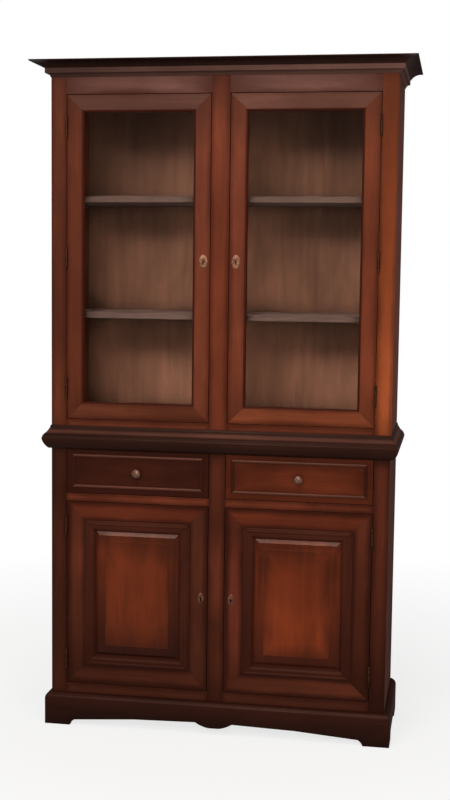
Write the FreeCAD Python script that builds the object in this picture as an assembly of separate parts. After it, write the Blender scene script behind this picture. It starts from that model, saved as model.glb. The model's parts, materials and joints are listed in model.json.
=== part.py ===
import FreeCAD, Part
import math
import os

from FreeCAD import Vector

# A two-part display cabinet in stained hardwood: a glazed hutch standing on a base
# with two drawers over two panelled doors. Millimetres, +Z up, front towards -Y.
# The origin is on the floor under the middle of the whole cabinet.
# "Depth" below is measured backwards from the front face of the face frames.

# ---------------------------------------------------------------- driving dimensions
# Carcass
case_width = 1050.0
case_depth = 360.0
frame_thickness = 22.0
side_thickness = 18.0
back_thickness = 8.0
board_thickness = 20.0
shelf_thickness = 18.0
stile_width = 48.0
hutch_mullion_width = 56.0
base_mullion_width = 50.0

# Heights, from the floor up
plinth_height = 102.0
base_rail_reveal = 31.0
lower_opening_height = 582.0
drawer_rail_height = 25.0
drawer_opening_height = 140.0
base_top_rail_height = 12.0
hutch_rail_height = 60.0
upper_opening_height = 990.0
frieze_height = 78.0

# Mouldings
plinth_projection = 18.0
plinth_rounding = 20.0
plinth_fillet = 2.5
foot_width = 81.0
foot_curve = 15.0
foot_bow = 0.10
apron_edge_height = 18.0
apron_middle_height = 37.0
apron_bow = 0.011
side_apron_height = 26.0
pendant_half_width = 58.0
pendant_flat = 16.0
pendant_tip_height = 21.0
pendant_bow = 0.055
waist_projection = 25.5
waist_above_joint = 40.0
waist_lip = 2.5
waist_hollow_height = 17.0
waist_hollow_bow = 0.06
waist_facet_rise = 5.0
waist_facet_run = 4.0
waist_facet_projection = 14.0
waist_nose_height = 19.0
waist_nose_bow = 0.12
waist_swell_bow = 0.09
waist_foot = 8.0
cornice_projection = 55.0
cornice_height = 47.0
cornice_lip = 4.0
cornice_quirk = 7.0
cornice_fillet = 2.0
cornice_fascia_projection = 16.0
cornice_fascia_height = 15.0
cornice_cavetto_height = 11.0

# Doors
door_thickness = 22.0
door_gap = 2.0
glazed_member_width = 53.0
ovolo_size = 7.0
ovolo_quirk = 1.5
glass_rebate_width = 10.0
glass_lip = 10.0
glass_thickness = 3.0
glass_play = 0.5
bead_inset = 0.5
bead_edge = 3.0
panelled_member_width = 62.0
groove_depth = 10.0
tongue_thickness = 6.0
tongue_front = 9.0
tongue_fit = 0.1
panel_play = 2.0
panel_margin = 2.0
panel_slope_width = 11.0
panel_slope_rise = 4.5
panel_bevel_width = 19.0
panel_bevel_rise = 0.5
panel_field_step = 1.0
bolection_lap = 5.0
bolection_width = 34.0
bolection_rise = 7.5
bolection_edge = 2.0
bolection_hollow_width = 5.0
bolection_shoulder = 5.0
bolection_crown_width = 9.0
bolection_quirk = 3.0
bolection_fillet = 2.0
bolection_foot = 2.0
bolection_fit = 0.3

# Hinges
hinge_height = 60.0
hinge_leaf_depth = 18.0
hinge_leaf_thickness = 1.5
knuckle_radius = 3.5
knuckle_clearance = 0.5
hinge_pin_radius = 1.45
hinge_pin_fit = 0.05
knuckle_gap = 0.3
hinge_tip_height = 4.0
hinge_tip_radius = 3.1
hinge_tip_rim = 1.0
upper_hinge_inset = 95.0
lower_hinge_inset = 75.0

# Locks
lock_height = 56.0
lock_width = 34.0
lock_depth = 10.4
lock_wall = 1.2
lock_fit = 0.1
bolt_height = 20.0
bolt_thickness = 5.0
bolt_length = 26.0
bolt_throw = 8.0
bolt_setback = 0.3
bolt_clearance = 0.4
keyhole_backset = 20.0
keyhole_radius = 3.0
keyhole_slot_width = 2.6
keyhole_slot_length = 9.0
upper_lock_above_door_edge = 488.0
lower_lock_above_door_edge = 291.0
escutcheon_thickness = 1.6
upper_escutcheon_width = 26.0
upper_escutcheon_height = 42.0
lower_escutcheon_width = 18.0
lower_escutcheon_height = 36.0

# Drawers
drawer_front_thickness = 20.0
drawer_side_thickness = 12.0
drawer_side_drop = 16.0
drawer_length = 318.0
drawer_bottom_thickness = 6.0
drawer_bottom_raise = 8.0
drawer_groove = 5.0
dovetail_lap = 8.0
dovetail_count = 4
dovetail_share = 0.72
dovetail_taper = 2.5
cock_bead_inset = 17.0
cock_bead_top_inset = 12.0
cock_bead_width = 9.0
cock_bead_rise = 4.0
cock_bead_edge = 1.2
knob_radius = 14.0
knob_projection = 25.0
knob_dome_rise = 8.0
knob_rim_rounding = 3.0
knob_neck_radius = 5.0
knob_neck_out = 7.0
knob_neck_bow = 0.2
knob_rose_radius = 10.0
knob_rose_thickness = 1.5
knob_spigot_radius = 4.0
runner_reach = 24.0
runner_thickness = 18.0
guide_height = 24.0
running_gap = 0.3
divider_thickness = 18.0

# Shelves
upper_shelf_height = 1641.0
middle_shelf_height = 1285.0
base_shelf_height = 408.0
shelf_setback = 14.0
shelf_side_play = 1.5
shelf_back_play = 2.0
shelf_pin_radius = 3.0
shelf_pin_fit = 0.05
shelf_pin_length = 22.0
shelf_pin_socket = 10.0
shelf_pin_end_gap = 0.2
shelf_pin_inset = 50.0
pin_seat_gap = 0.1

# Underneath
corner_block_size = 45.0
frame_foot_clearance = 40.0

# How far a cutting shape runs past what it cuts
cutter_margin = 1.0

# ---------------------------------------------------------------- derived places
half_width = case_width / 2
inner_half_width = half_width - side_thickness
opening_outer = half_width - stile_width

z_base_floor = plinth_height + base_rail_reveal
z_lower_opening_top = z_base_floor + lower_opening_height
z_drawer_opening = z_lower_opening_top + drawer_rail_height
z_drawer_opening_top = z_drawer_opening + drawer_opening_height
z_base_top_rail_top = z_drawer_opening_top + base_top_rail_height
z_hutch = z_base_top_rail_top + board_thickness
z_upper_opening = z_hutch + hutch_rail_height
z_upper_opening_top = z_upper_opening + upper_opening_height
z_hutch_frame_top = z_upper_opening_top + frieze_height
z_top = z_hutch_frame_top + board_thickness

y_face = (cornice_projection - case_depth) / 2
y_back = y_face + case_depth
depth_inside = case_depth - back_thickness

hinge_axis_depth = -(knuckle_radius + knuckle_clearance)

os.makedirs("parts", exist_ok=True)


# ---------------------------------------------------------------- shape helpers
def board(x0, x1, depth0, depth1, z0, z1):
    """A squared board between two X, two depths behind the face and two heights."""
    low_x = min(x0, x1)
    return Part.makeBox(abs(x1 - x0), depth1 - depth0, z1 - z0,
                        Vector(low_x, y_face + depth0, z0))


def bow_along(run, rise):
    """Bow of the arc that starts or ends along its run and climbs by its rise."""
    return math.tan(math.atan2(rise, run) / 2) / 2


def outline_face(place, *corners):
    """A closed face whose corners are named with the solid on the left of the way round.
    A corner (a, b) is reached by a line. A corner (a, b, bow) is reached by an arc that
    swells outwards by bow times its chord, or hollows inwards where bow is negative.
    place turns the two outline numbers into a point of the model."""
    edges = []
    for here, there in zip(corners, corners[1:] + corners[:1]):
        start, end = place(*here[:2]), place(*there[:2])
        if len(there) == 2:
            edges.append(Part.LineSegment(start, end).toShape())
            continue
        along_a, along_b = there[0] - here[0], there[1] - here[1]
        via = place((here[0] + there[0]) / 2 + there[2] * along_b,
                    (here[1] + there[1]) / 2 - there[2] * along_a)
        edges.append(Part.Arc(start, via, end).toShape())
    return Part.Face(Part.Wire(edges))


def plan_prism(corners, z0, z1):
    """A prism standing on a polygon given as (x, depth) corners."""
    loop = [Vector(x, y_face + depth, z0) for x, depth in corners]
    return Part.Face(Part.makePolygon(loop + [loop[0]])).extrude(Vector(0, 0, z1 - z0))


def front_prism(corners, depth0, depth1):
    """A prism behind a polygon given as (x, z) corners."""
    loop = [Vector(x, y_face + depth0, z) for x, z in corners]
    return Part.Face(Part.makePolygon(loop + [loop[0]])).extrude(Vector(0, depth1 - depth0, 0))


def cut_all(solid, tools):
    """The solid with every tool taken out of it."""
    for tool in tools:
        solid = solid.cut(tool)
    return solid


def mirrored(solid):
    """The left-hand copy of a right-hand solid."""
    return solid.mirror(Vector(0, 0, 0), Vector(1, 0, 0))


def save(node, *solids):
    """Write one node; several solids stay separate inside it."""
    pieces = []
    for solid in solids:
        pieces.extend(solid.Solids)
    shape = pieces[0] if len(pieces) == 1 else Part.makeCompound(pieces)
    shape.exportStep("parts/" + node + ".step")


def mitred_ring(section, reach, x0, x1, z0, z1):
    """Four mitred lengths of one section round a rectangle in the front view.
    section(place) gives the section face, with its first number measured inwards
    from the rectangle and its second the depth; reach is its largest first number."""
    depth0 = -bolection_rise - cutter_margin
    depth1 = door_thickness + cutter_margin
    side = section(lambda u, depth: Vector(x0 + u, y_face + depth, z0))
    side = side.extrude(Vector(0, 0, z1 - z0))
    left = side.common(front_prism(
        [(x0, z0), (x0 + reach, z0 + reach), (x0 + reach, z1 - reach), (x0, z1)], depth0, depth1))
    other = section(lambda u, depth: Vector(x1 - u, y_face + depth, z0))
    other = other.extrude(Vector(0, 0, z1 - z0))
    right = other.common(front_prism(
        [(x1, z0), (x1 - reach, z0 + reach), (x1 - reach, z1 - reach), (x1, z1)], depth0, depth1))
    low = section(lambda u, depth: Vector(x0, y_face + depth, z0 + u))
    low = low.extrude(Vector(x1 - x0, 0, 0))
    bottom = low.common(front_prism(
        [(x0, z0), (x0 + reach, z0 + reach), (x1 - reach, z0 + reach), (x1, z0)], depth0, depth1))
    high = section(lambda u, depth: Vector(x0, y_face + depth, z1 - u))
    high = high.extrude(Vector(x1 - x0, 0, 0))
    top = high.common(front_prism(
        [(x0, z1), (x0 + reach, z1 - reach), (x1 - reach, z1 - reach), (x1, z1)], depth0, depth1))
    return [left, right, bottom, top]


def wrapped_moulding(section, reach, z0, z1):
    """Front length and two returns of a moulding round the case, mitred at the corners.
    section(place) gives the section face: projection first, height second."""
    front = section(lambda out, z: Vector(-half_width - reach, y_face - out, z))
    front = front.extrude(Vector(case_width + 2 * reach, 0, 0))
    front = front.common(plan_prism(
        [(-half_width - reach, -reach), (half_width + reach, -reach), (half_width, 0),
         (-half_width, 0)], z0, z1))
    side = section(lambda out, z: Vector(half_width + out, y_face - reach, z))
    side = side.extrude(Vector(0, case_depth + reach, 0))
    right = side.common(plan_prism(
        [(half_width, 0), (half_width + reach, -reach), (half_width + reach, case_depth),
         (half_width, case_depth)], z0, z1))
    return [front, mirrored(right), right]


# ---------------------------------------------------------------- hinges
def hinge_axis(x_edge, side):
    """X of a hinge's axis: the middle of the gap beside a door's hanging edge."""
    return x_edge + side * door_gap / 2


def knuckle_blank(x_axis, z0, z1):
    """One solid knuckle, before its bore."""
    return Part.makeCylinder(knuckle_radius, z1 - z0,
                             Vector(x_axis, y_face + hinge_axis_depth, z0))


def pin_bore(x_axis, z0, z1):
    """The hole that the pin turns in."""
    return Part.makeCylinder(hinge_pin_radius + hinge_pin_fit, z1 - z0,
                             Vector(x_axis, y_face + hinge_axis_depth, z0))


def hinge_leaf(x_axis, toward, z_middle, knuckle_spans):
    """A leaf let into an edge on the side given by toward (+1 or -1), with its knuckles."""
    z0 = z_middle - hinge_height / 2
    z1 = z_middle + hinge_height / 2
    x_near = x_axis + toward * door_gap / 2
    x_far = x_near + toward * hinge_leaf_thickness
    leaf = board(x_near, x_far, 0, hinge_leaf_depth, z0, z1)
    for low, high in knuckle_spans:
        neck = board(x_near, x_far, hinge_axis_depth, 0, low, high)
        leaf = leaf.fuse(neck).fuse(knuckle_blank(x_axis, low, high))
    return leaf.cut(pin_bore(x_axis, z0, z1)).removeSplitter()


def knuckle_thirds(z_middle):
    """Heights of the three knuckles: the outer two are the case's, the inner the door's."""
    third = hinge_height / 3
    z0 = z_middle - hinge_height / 2
    outer = [(z0, z0 + third - knuckle_gap / 2),
             (z0 + 2 * third + knuckle_gap / 2, z0 + hinge_height)]
    inner = [(z0 + third + knuckle_gap / 2, z0 + 2 * third - knuckle_gap / 2)]
    return outer, inner


def hinge_pin(x_axis, z_middle):
    """Pin with a domed tip at each end, standing on the end knuckles."""
    z0 = z_middle - hinge_height / 2
    z1 = z_middle + hinge_height / 2
    tip = hinge_tip_radius
    rim = hinge_tip_rim
    bow = bow_along(tip, hinge_tip_height - rim)

    def place(radius, z):
        return Vector(x_axis + radius, y_face + hinge_axis_depth, z)

    face = outline_face(
        place, (0, z0 - hinge_tip_height), (tip, z0 - rim, bow), (tip, z0),
        (hinge_pin_radius, z0), (hinge_pin_radius, z1), (tip, z1), (tip, z1 + rim),
        (0, z1 + hinge_tip_height, bow))
    return face.revolve(Vector(x_axis, y_face + hinge_axis_depth, 0), Vector(0, 0, 1), 360)


def leaf_mortise(x_edge, into, z_middle):
    """The shallow recess that a leaf lies in, cut from an edge towards into."""
    return board(x_edge, x_edge + into * hinge_leaf_thickness, 0, hinge_leaf_depth,
                 z_middle - hinge_height / 2, z_middle + hinge_height / 2)


# ---------------------------------------------------------------- locks
def keyhole(x, z, depth0, depth1):
    """A round hole with a slot below it."""
    hole = Part.makeCylinder(keyhole_radius, depth1 - depth0, Vector(x, y_face + depth0, z),
                             Vector(0, 1, 0))
    slot = board(x - keyhole_slot_width / 2, x + keyhole_slot_width / 2, depth0, depth1,
                 z - keyhole_slot_length, z)
    return hole.fuse(slot)


lock_back = door_thickness
lock_front = door_thickness - lock_depth
bolt_middle_depth = (lock_front + lock_back) / 2
bolt_span = (bolt_middle_depth - bolt_thickness / 2, bolt_middle_depth + bolt_thickness / 2)


def lock_mortise(x_edge, into, z):
    """What a lock takes out of a door's free edge: its box and the keyhole."""
    box = board(x_edge, x_edge + into * (lock_width + lock_fit), lock_front - lock_fit,
                lock_back, z - lock_height / 2 - lock_fit, z + lock_height / 2 + lock_fit)
    return [box, keyhole(x_edge + into * keyhole_backset, z, 0, lock_front)]


def lock_case(x_edge, into, z):
    """Thin-walled lock box let into the back of the stile, open where the bolt comes out."""
    box = board(x_edge, x_edge + into * lock_width, lock_front, lock_back,
                z - lock_height / 2, z + lock_height / 2)
    hollow = board(x_edge + into * lock_wall, x_edge + into * (lock_width - lock_wall),
                   lock_front + lock_wall, lock_back - lock_wall,
                   z - lock_height / 2 + lock_wall, z + lock_height / 2 - lock_wall)
    mouth = board(x_edge, x_edge + into * lock_wall,
                  bolt_span[0] - bolt_clearance, bolt_span[1] + bolt_clearance,
                  z - bolt_height / 2 - bolt_clearance, z + bolt_height / 2 + bolt_clearance)
    key_way = keyhole(x_edge + into * keyhole_backset, z, lock_front, lock_front + lock_wall)
    return box.cut(hollow).cut(mouth).cut(key_way)


def lock_bolt(x_edge, into, z):
    """The sliding bolt, drawn back, with the notch that the key's bit pushes."""
    x0 = x_edge + into * bolt_setback
    bolt = board(x0, x0 + into * bolt_length, bolt_span[0], bolt_span[1],
                 z - bolt_height / 2, z + bolt_height / 2)
    x_notch = x_edge + into * keyhole_backset
    notch = board(x_notch - keyhole_radius, x_notch + keyhole_radius, bolt_span[0],
                  bolt_span[1], z - bolt_height / 2, z - bolt_height / 2 + keyhole_radius * 2)
    return bolt.cut(notch)


def bolt_socket(x_edge, into, z):
    """The mortise in the mullion that takes the thrown bolt."""
    reach = bolt_throw - bolt_setback - door_gap + bolt_clearance
    return board(x_edge, x_edge + into * reach,
                 bolt_span[0] - bolt_clearance, bolt_span[1] + bolt_clearance,
                 z - bolt_height / 2 - bolt_clearance, z + bolt_height / 2 + bolt_clearance)


def escutcheon(x, z, width, height):
    """Oval keyhole plate lying on the face of a stile."""
    wide = max(width, height) / 2
    narrow = min(width, height) / 2
    oval = Part.Ellipse(Vector(0, 0, 0), wide, narrow).toShape()
    plate = Part.Face(Part.Wire([oval])).extrude(Vector(0, 0, escutcheon_thickness))
    if height >= width:
        plate.rotate(Vector(0, 0, 0), Vector(0, 0, 1), 90)
    plate.rotate(Vector(0, 0, 0), Vector(1, 0, 0), 90)
    plate.translate(Vector(x, y_face, z))
    return plate.cut(keyhole(x, z, -escutcheon_thickness, 0))


# ---------------------------------------------------------------- door places
z_upper_door = z_upper_opening + door_gap
z_upper_door_top = z_upper_opening_top - door_gap
z_lower_door = z_base_floor + door_gap
z_lower_door_top = z_lower_opening_top - door_gap
x_hanging = opening_outer - door_gap
x_upper_free = hutch_mullion_width / 2 + door_gap
x_lower_free = base_mullion_width / 2 + door_gap

z_upper_hinges = [z_upper_door + upper_hinge_inset,
                  (z_upper_door + z_upper_door_top) / 2,
                  z_upper_door_top - upper_hinge_inset]
z_lower_hinges = [z_lower_door + lower_hinge_inset, z_lower_door_top - lower_hinge_inset]
z_upper_lock = z_upper_door + upper_lock_above_door_edge
z_lower_lock = z_lower_door + lower_lock_above_door_edge


# ---------------------------------------------------------------- hutch
def hutch_shelf_pin_places():
    """Depths and heights of the pin holes in one hutch side."""
    depths = [frame_thickness + shelf_setback + shelf_pin_inset, depth_inside - shelf_pin_inset]
    heights = [middle_shelf_height, upper_shelf_height]
    return [(depth, shelf - pin_seat_gap - shelf_pin_radius)
            for depth in depths for shelf in heights]


def base_shelf_pin_places():
    """Depths and heights of the pin holes in one base side."""
    depths = [frame_thickness + shelf_setback + shelf_pin_inset, depth_inside - shelf_pin_inset]
    return [(depth, base_shelf_height - pin_seat_gap - shelf_pin_radius) for depth in depths]


def pin_hole(depth, z):
    """A blind hole for a shelf pin in the right-hand side."""
    return Part.makeCylinder(shelf_pin_radius + shelf_pin_fit, shelf_pin_socket,
                             Vector(inner_half_width, y_face + depth, z), Vector(1, 0, 0))


def shelf_pin(depth, z):
    """A plain brass pin standing in the right-hand side."""
    start = inner_half_width + shelf_pin_socket - shelf_pin_length
    return Part.makeCylinder(shelf_pin_radius, shelf_pin_length - shelf_pin_end_gap,
                             Vector(start, y_face + depth, z), Vector(1, 0, 0))


def rail_pair(half_mullion, z0, z1):
    """Two rails between a mullion and the stiles on either side of it."""
    rail = board(half_mullion, opening_outer, 0, frame_thickness, z0, z1)
    return [mirrored(rail), rail]


def make_hutch():
    """Sides, boards, back, face frame, shelves."""
    side = board(inner_half_width, half_width, frame_thickness, case_depth,
                 z_hutch, z_hutch_frame_top)
    side = cut_all(side, [pin_hole(depth, z) for depth, z in hutch_shelf_pin_places()])
    save("hutch_side_right", side)
    save("hutch_side_left", mirrored(side))
    save("hutch_top", board(-half_width, half_width, 0, case_depth, z_hutch_frame_top, z_top))
    save("hutch_bottom", board(-inner_half_width, inner_half_width, frame_thickness,
                               depth_inside, z_upper_opening - board_thickness,
                               z_upper_opening))
    save("hutch_back", board(-inner_half_width, inner_half_width, depth_inside, case_depth,
                             z_hutch, z_hutch_frame_top))
    stile = board(opening_outer, half_width, 0, frame_thickness, z_hutch, z_hutch_frame_top)
    stile = cut_all(stile, [leaf_mortise(opening_outer, 1, z) for z in z_upper_hinges])
    save("hutch_stiles", mirrored(stile), stile)
    half_mullion = hutch_mullion_width / 2
    mullion = board(-half_mullion, half_mullion, 0, frame_thickness, z_hutch,
                    z_hutch_frame_top)
    for side_of in (-1, 1):
        mullion = mullion.cut(bolt_socket(side_of * half_mullion, -side_of, z_upper_lock))
    save("hutch_mullion", mullion)
    save("hutch_frieze_rails", *rail_pair(half_mullion, z_upper_opening_top,
                                          z_hutch_frame_top))
    save("hutch_bottom_rails", *rail_pair(half_mullion, z_hutch, z_upper_opening))
    shelf_half = inner_half_width - shelf_side_play
    save("hutch_shelves", *[board(-shelf_half, shelf_half, frame_thickness + shelf_setback,
                                  depth_inside - shelf_back_play, z, z + shelf_thickness)
                            for z in (middle_shelf_height, upper_shelf_height)])
    pins = [shelf_pin(depth, z) for depth, z in hutch_shelf_pin_places()]
    pins += [shelf_pin(depth, z) for depth, z in base_shelf_pin_places()]
    save("shelf_pins", *(pins + [mirrored(pin) for pin in pins]))


# ---------------------------------------------------------------- mouldings round the case
def cornice_section(place):
    """From the frieze up: small cavetto, upright fascia, wide cove and thin lip."""
    z_low = z_top - cornice_height
    z_lip = z_top - cornice_lip
    z_cavetto = z_low + cornice_cavetto_height
    z_fascia = z_cavetto + cornice_fascia_height
    out = cornice_projection
    fascia = cornice_fascia_projection
    step = cornice_fillet
    cove_run = out - cornice_quirk - fascia - step
    cove = bow_along(cove_run, z_lip - z_fascia)
    cavetto = bow_along(fascia - 2 * step, cornice_cavetto_height)
    return outline_face(
        place, (0, z_top), (0, z_low), (step, z_low), (fascia - step, z_cavetto, -cavetto),
        (fascia, z_cavetto), (fascia, z_fascia), (fascia + step, z_fascia),
        (out - cornice_quirk, z_lip, -cove), (out, z_lip), (out, z_top))


def waist_section(place):
    """From the drawers up: a swelling underside, a rounded nose that falls back to a
    small facet facing up, and a slightly hollow top edge."""
    z_low = z_drawer_opening_top
    z_high = z_hutch + waist_above_joint
    z_facet_top = z_high - waist_hollow_height
    z_facet = z_facet_top - waist_facet_rise
    facet = waist_facet_projection
    return outline_face(
        place, (0, z_high), (0, z_low), (waist_foot, z_low),
        (waist_projection, z_facet - waist_nose_height, waist_swell_bow),
        (facet, z_facet, waist_nose_bow), (facet - waist_facet_run, z_facet_top),
        (waist_lip, z_high, -waist_hollow_bow))


def plinth_section(place):
    """A board whose top edge is rounded over to a small fillet."""
    out = plinth_projection
    rounding = bow_along(plinth_rounding, out - plinth_fillet)
    return outline_face(place, (0, plinth_height), (0, 0), (out, 0),
                        (out, plinth_height - plinth_rounding),
                        (plinth_fillet, plinth_height, rounding))


def front_apron_cut():
    """The shallow arches between the front feet, with the pendant left in the middle."""
    x_foot = half_width + plinth_projection - foot_width
    x_arch = x_foot - foot_curve
    low = -cutter_margin

    def place(x, z):
        return Vector(x, y_face - plinth_projection - cutter_margin, z)

    face = outline_face(
        place, (0, low), (x_foot, low), (x_foot, 0), (x_arch, apron_edge_height, foot_bow),
        (pendant_half_width, apron_middle_height, apron_bow),
        (pendant_flat, pendant_tip_height, -pendant_bow), (0, pendant_tip_height))
    arch = face.extrude(Vector(0, plinth_projection + 2 * cutter_margin, 0))
    return [mirrored(arch), arch]


def side_apron_cut():
    """The opening between the front and back feet of the right-hand plinth return."""
    front = -plinth_projection + foot_width
    back = case_depth - foot_width
    low = -cutter_margin

    def place(depth, z):
        return Vector(half_width - cutter_margin, y_face + depth, z)

    face = outline_face(
        place, (front, low), (back, low), (back, 0),
        (back - foot_curve, side_apron_height, foot_bow),
        (front + foot_curve, side_apron_height), (front, 0, foot_bow))
    return face.extrude(Vector(plinth_projection + 2 * cutter_margin, 0, 0))


def make_case_mouldings():
    """Cornice, waist moulding and plinth, each in three mitred lengths."""
    save("cornice_moulding", *wrapped_moulding(
        cornice_section, cornice_projection, z_top - cornice_height, z_top))
    save("waist_moulding", *wrapped_moulding(
        waist_section, waist_projection, z_drawer_opening_top, z_hutch + waist_above_joint))
    front, _, right = wrapped_moulding(plinth_section, plinth_projection, 0, plinth_height)
    save("plinth_front", cut_all(front, front_apron_cut()))
    right = right.cut(side_apron_cut())
    save("plinth_returns", mirrored(right), right)


# ---------------------------------------------------------------- base
def make_base():
    """Sides, boards, back, face frame, drawer supports, shelf and corner blocks."""
    side = board(inner_half_width, half_width, frame_thickness, case_depth,
                 frame_foot_clearance, z_base_top_rail_top)
    side = cut_all(side, [pin_hole(depth, z) for depth, z in base_shelf_pin_places()])
    save("base_side_right", side)
    save("base_side_left", mirrored(side))
    save("base_top", board(-half_width, half_width, 0, case_depth, z_base_top_rail_top,
                           z_hutch))
    save("base_bottom", board(-inner_half_width, inner_half_width, frame_thickness,
                              depth_inside, z_base_floor - board_thickness, z_base_floor))
    save("base_back", board(-inner_half_width, inner_half_width, depth_inside, case_depth,
                            frame_foot_clearance, z_base_top_rail_top))
    stile = board(opening_outer, half_width, 0, frame_thickness, 0, z_base_top_rail_top)
    stile = cut_all(stile, [leaf_mortise(opening_outer, 1, z) for z in z_lower_hinges])
    save("base_stiles", mirrored(stile), stile)
    half_mullion = base_mullion_width / 2
    mullion = board(-half_mullion, half_mullion, 0, frame_thickness, frame_foot_clearance,
                    z_drawer_opening_top)
    for side_of in (-1, 1):
        mullion = mullion.cut(bolt_socket(side_of * half_mullion, -side_of, z_lower_lock))
    save("base_mullion", mullion)
    save("base_top_rail", board(-opening_outer, opening_outer, 0, frame_thickness,
                                z_drawer_opening_top, z_base_top_rail_top))
    save("drawer_rails", *rail_pair(half_mullion, z_lower_opening_top, z_drawer_opening))
    save("base_bottom_rails", *rail_pair(half_mullion, frame_foot_clearance, z_base_floor))
    half_divider = divider_thickness / 2
    save("drawer_divider", board(-half_divider, half_divider, frame_thickness, depth_inside,
                                 z_lower_opening_top, z_base_top_rail_top))
    save("drawer_runners", *drawer_runners())
    shelf_half = inner_half_width - shelf_side_play
    save("base_shelf", board(-shelf_half, shelf_half, frame_thickness + shelf_setback,
                             depth_inside - shelf_back_play, base_shelf_height,
                             base_shelf_height + shelf_thickness))
    save("plinth_blocks", *corner_blocks())


def drawer_runners():
    """Four L-shaped runners: a ledge under each drawer side and a guide beside it."""
    z_ledge_top = z_drawer_box - running_gap
    z_low = z_ledge_top - runner_thickness
    x_near = x_drawer_inner + drawer_side_thickness
    x_far = x_drawer_outer - drawer_side_thickness
    inner = board(divider_thickness / 2, x_near + runner_reach - drawer_side_thickness,
                  frame_thickness, depth_inside, z_low, z_ledge_top)
    inner_guide = board(divider_thickness / 2, x_drawer_inner - running_gap, frame_thickness,
                        depth_inside, z_ledge_top, z_ledge_top + guide_height)
    outer = board(x_far - runner_reach + drawer_side_thickness, inner_half_width,
                  frame_thickness, depth_inside, z_low, z_ledge_top)
    outer_guide = board(x_drawer_outer + running_gap, inner_half_width, frame_thickness,
                        depth_inside, z_ledge_top, z_ledge_top + guide_height)
    right = [inner.fuse(inner_guide).removeSplitter(), outer.fuse(outer_guide).removeSplitter()]
    return right + [mirrored(runner) for runner in right]


def corner_blocks():
    """Four glued blocks that carry the bottom board down to the floor."""
    blocks = []
    for depth in (frame_thickness, depth_inside - corner_block_size):
        block = board(inner_half_width - corner_block_size, inner_half_width, depth,
                      depth + corner_block_size, 0, z_base_floor - board_thickness)
        blocks += [mirrored(block), block]
    return blocks


# ---------------------------------------------------------------- glazed doors
def glazed_member_section(place):
    """Flat face, a sunk ovolo on the inner edge, and a rebate behind for the glass."""
    width = glazed_member_width
    start = width - ovolo_size
    rebate = width - glass_rebate_width
    return outline_face(
        place, (0, 0), (start, 0), (start, ovolo_quirk),
        (width, ovolo_quirk + ovolo_size, bow_along(ovolo_size, ovolo_size)),
        (width, glass_lip), (rebate, glass_lip), (rebate, door_thickness), (0, door_thickness))


def glazing_bead_section(place):
    """A small splayed bead that holds the glass in its rebate."""
    front = glass_lip + glass_thickness
    back = door_thickness - bead_inset
    width = glass_rebate_width - bead_inset
    return outline_face(place, (0, front), (width, front), (width, front + bead_edge),
                        (width / 2, back), (0, back))


def make_glazed_door(name, side):
    """One hutch door; side is +1 for the right-hand door and -1 for the left."""
    z0, z1 = z_upper_door, z_upper_door_top
    left, right, bottom, top = mitred_ring(glazed_member_section, glazed_member_width,
                                           x_upper_free, x_hanging, z0, z1)
    free_stile = cut_all(left, lock_mortise(x_upper_free, 1, z_upper_lock))
    hanging_stile = cut_all(right, [leaf_mortise(x_hanging, -1, z) for z in z_upper_hinges])
    frame = [free_stile, hanging_stile, bottom, top]

    rebate = glazed_member_width - glass_rebate_width
    pane = board(x_upper_free + rebate + glass_play, x_hanging - rebate - glass_play,
                 glass_lip, glass_lip + glass_thickness,
                 z0 + rebate + glass_play, z1 - rebate - glass_play)
    beads = mitred_ring(glazing_bead_section, glass_rebate_width, x_upper_free + rebate,
                        x_hanging - rebate, z0 + rebate, z1 - rebate)
    plate = escutcheon(x_upper_free + keyhole_backset, z_upper_lock, upper_escutcheon_width,
                       upper_escutcheon_height)
    save_door(name, side, frame, z_upper_hinges, x_upper_free, z_upper_lock, plate)
    save_sided(name + "_glass", side, [pane])
    save_sided(name + "_glazing_beads", side, beads)


# ---------------------------------------------------------------- panelled doors
def panelled_member_section(place):
    """A square-edged member with a groove in its inner edge for the panel."""
    width = panelled_member_width
    groove_front = tongue_front - tongue_fit
    groove_back = tongue_front + tongue_thickness + tongue_fit
    return outline_face(
        place, (0, 0), (width, 0), (width, groove_front), (width - groove_depth, groove_front),
        (width - groove_depth, groove_back), (width, groove_back), (width, door_thickness),
        (0, door_thickness))


def bolection_section(place):
    """A moulding that laps the frame's face, stands proud of it and falls to the panel."""
    shoulder = -bolection_shoulder
    back = tongue_front - bolection_fit
    foot = tongue_front - bolection_foot
    crown_start = bolection_hollow_width
    crown_end = crown_start + bolection_crown_width
    sweep_start = crown_end + bolection_quirk
    sweep_end = bolection_width - bolection_fillet
    hollow = bow_along(bolection_hollow_width, bolection_shoulder - bolection_edge)
    crown = (bolection_rise - bolection_shoulder) / bolection_crown_width
    sweep = bow_along(sweep_end - sweep_start, foot - shoulder - bolection_fillet)
    return outline_face(
        place, (0, 0), (0, -bolection_edge), (crown_start, shoulder, -hollow),
        (crown_end, shoulder, crown), (sweep_start, shoulder),
        (sweep_end, foot - bolection_fillet, sweep), (bolection_width, foot),
        (bolection_width, back), (bolection_lap, back), (bolection_lap, 0))


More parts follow.
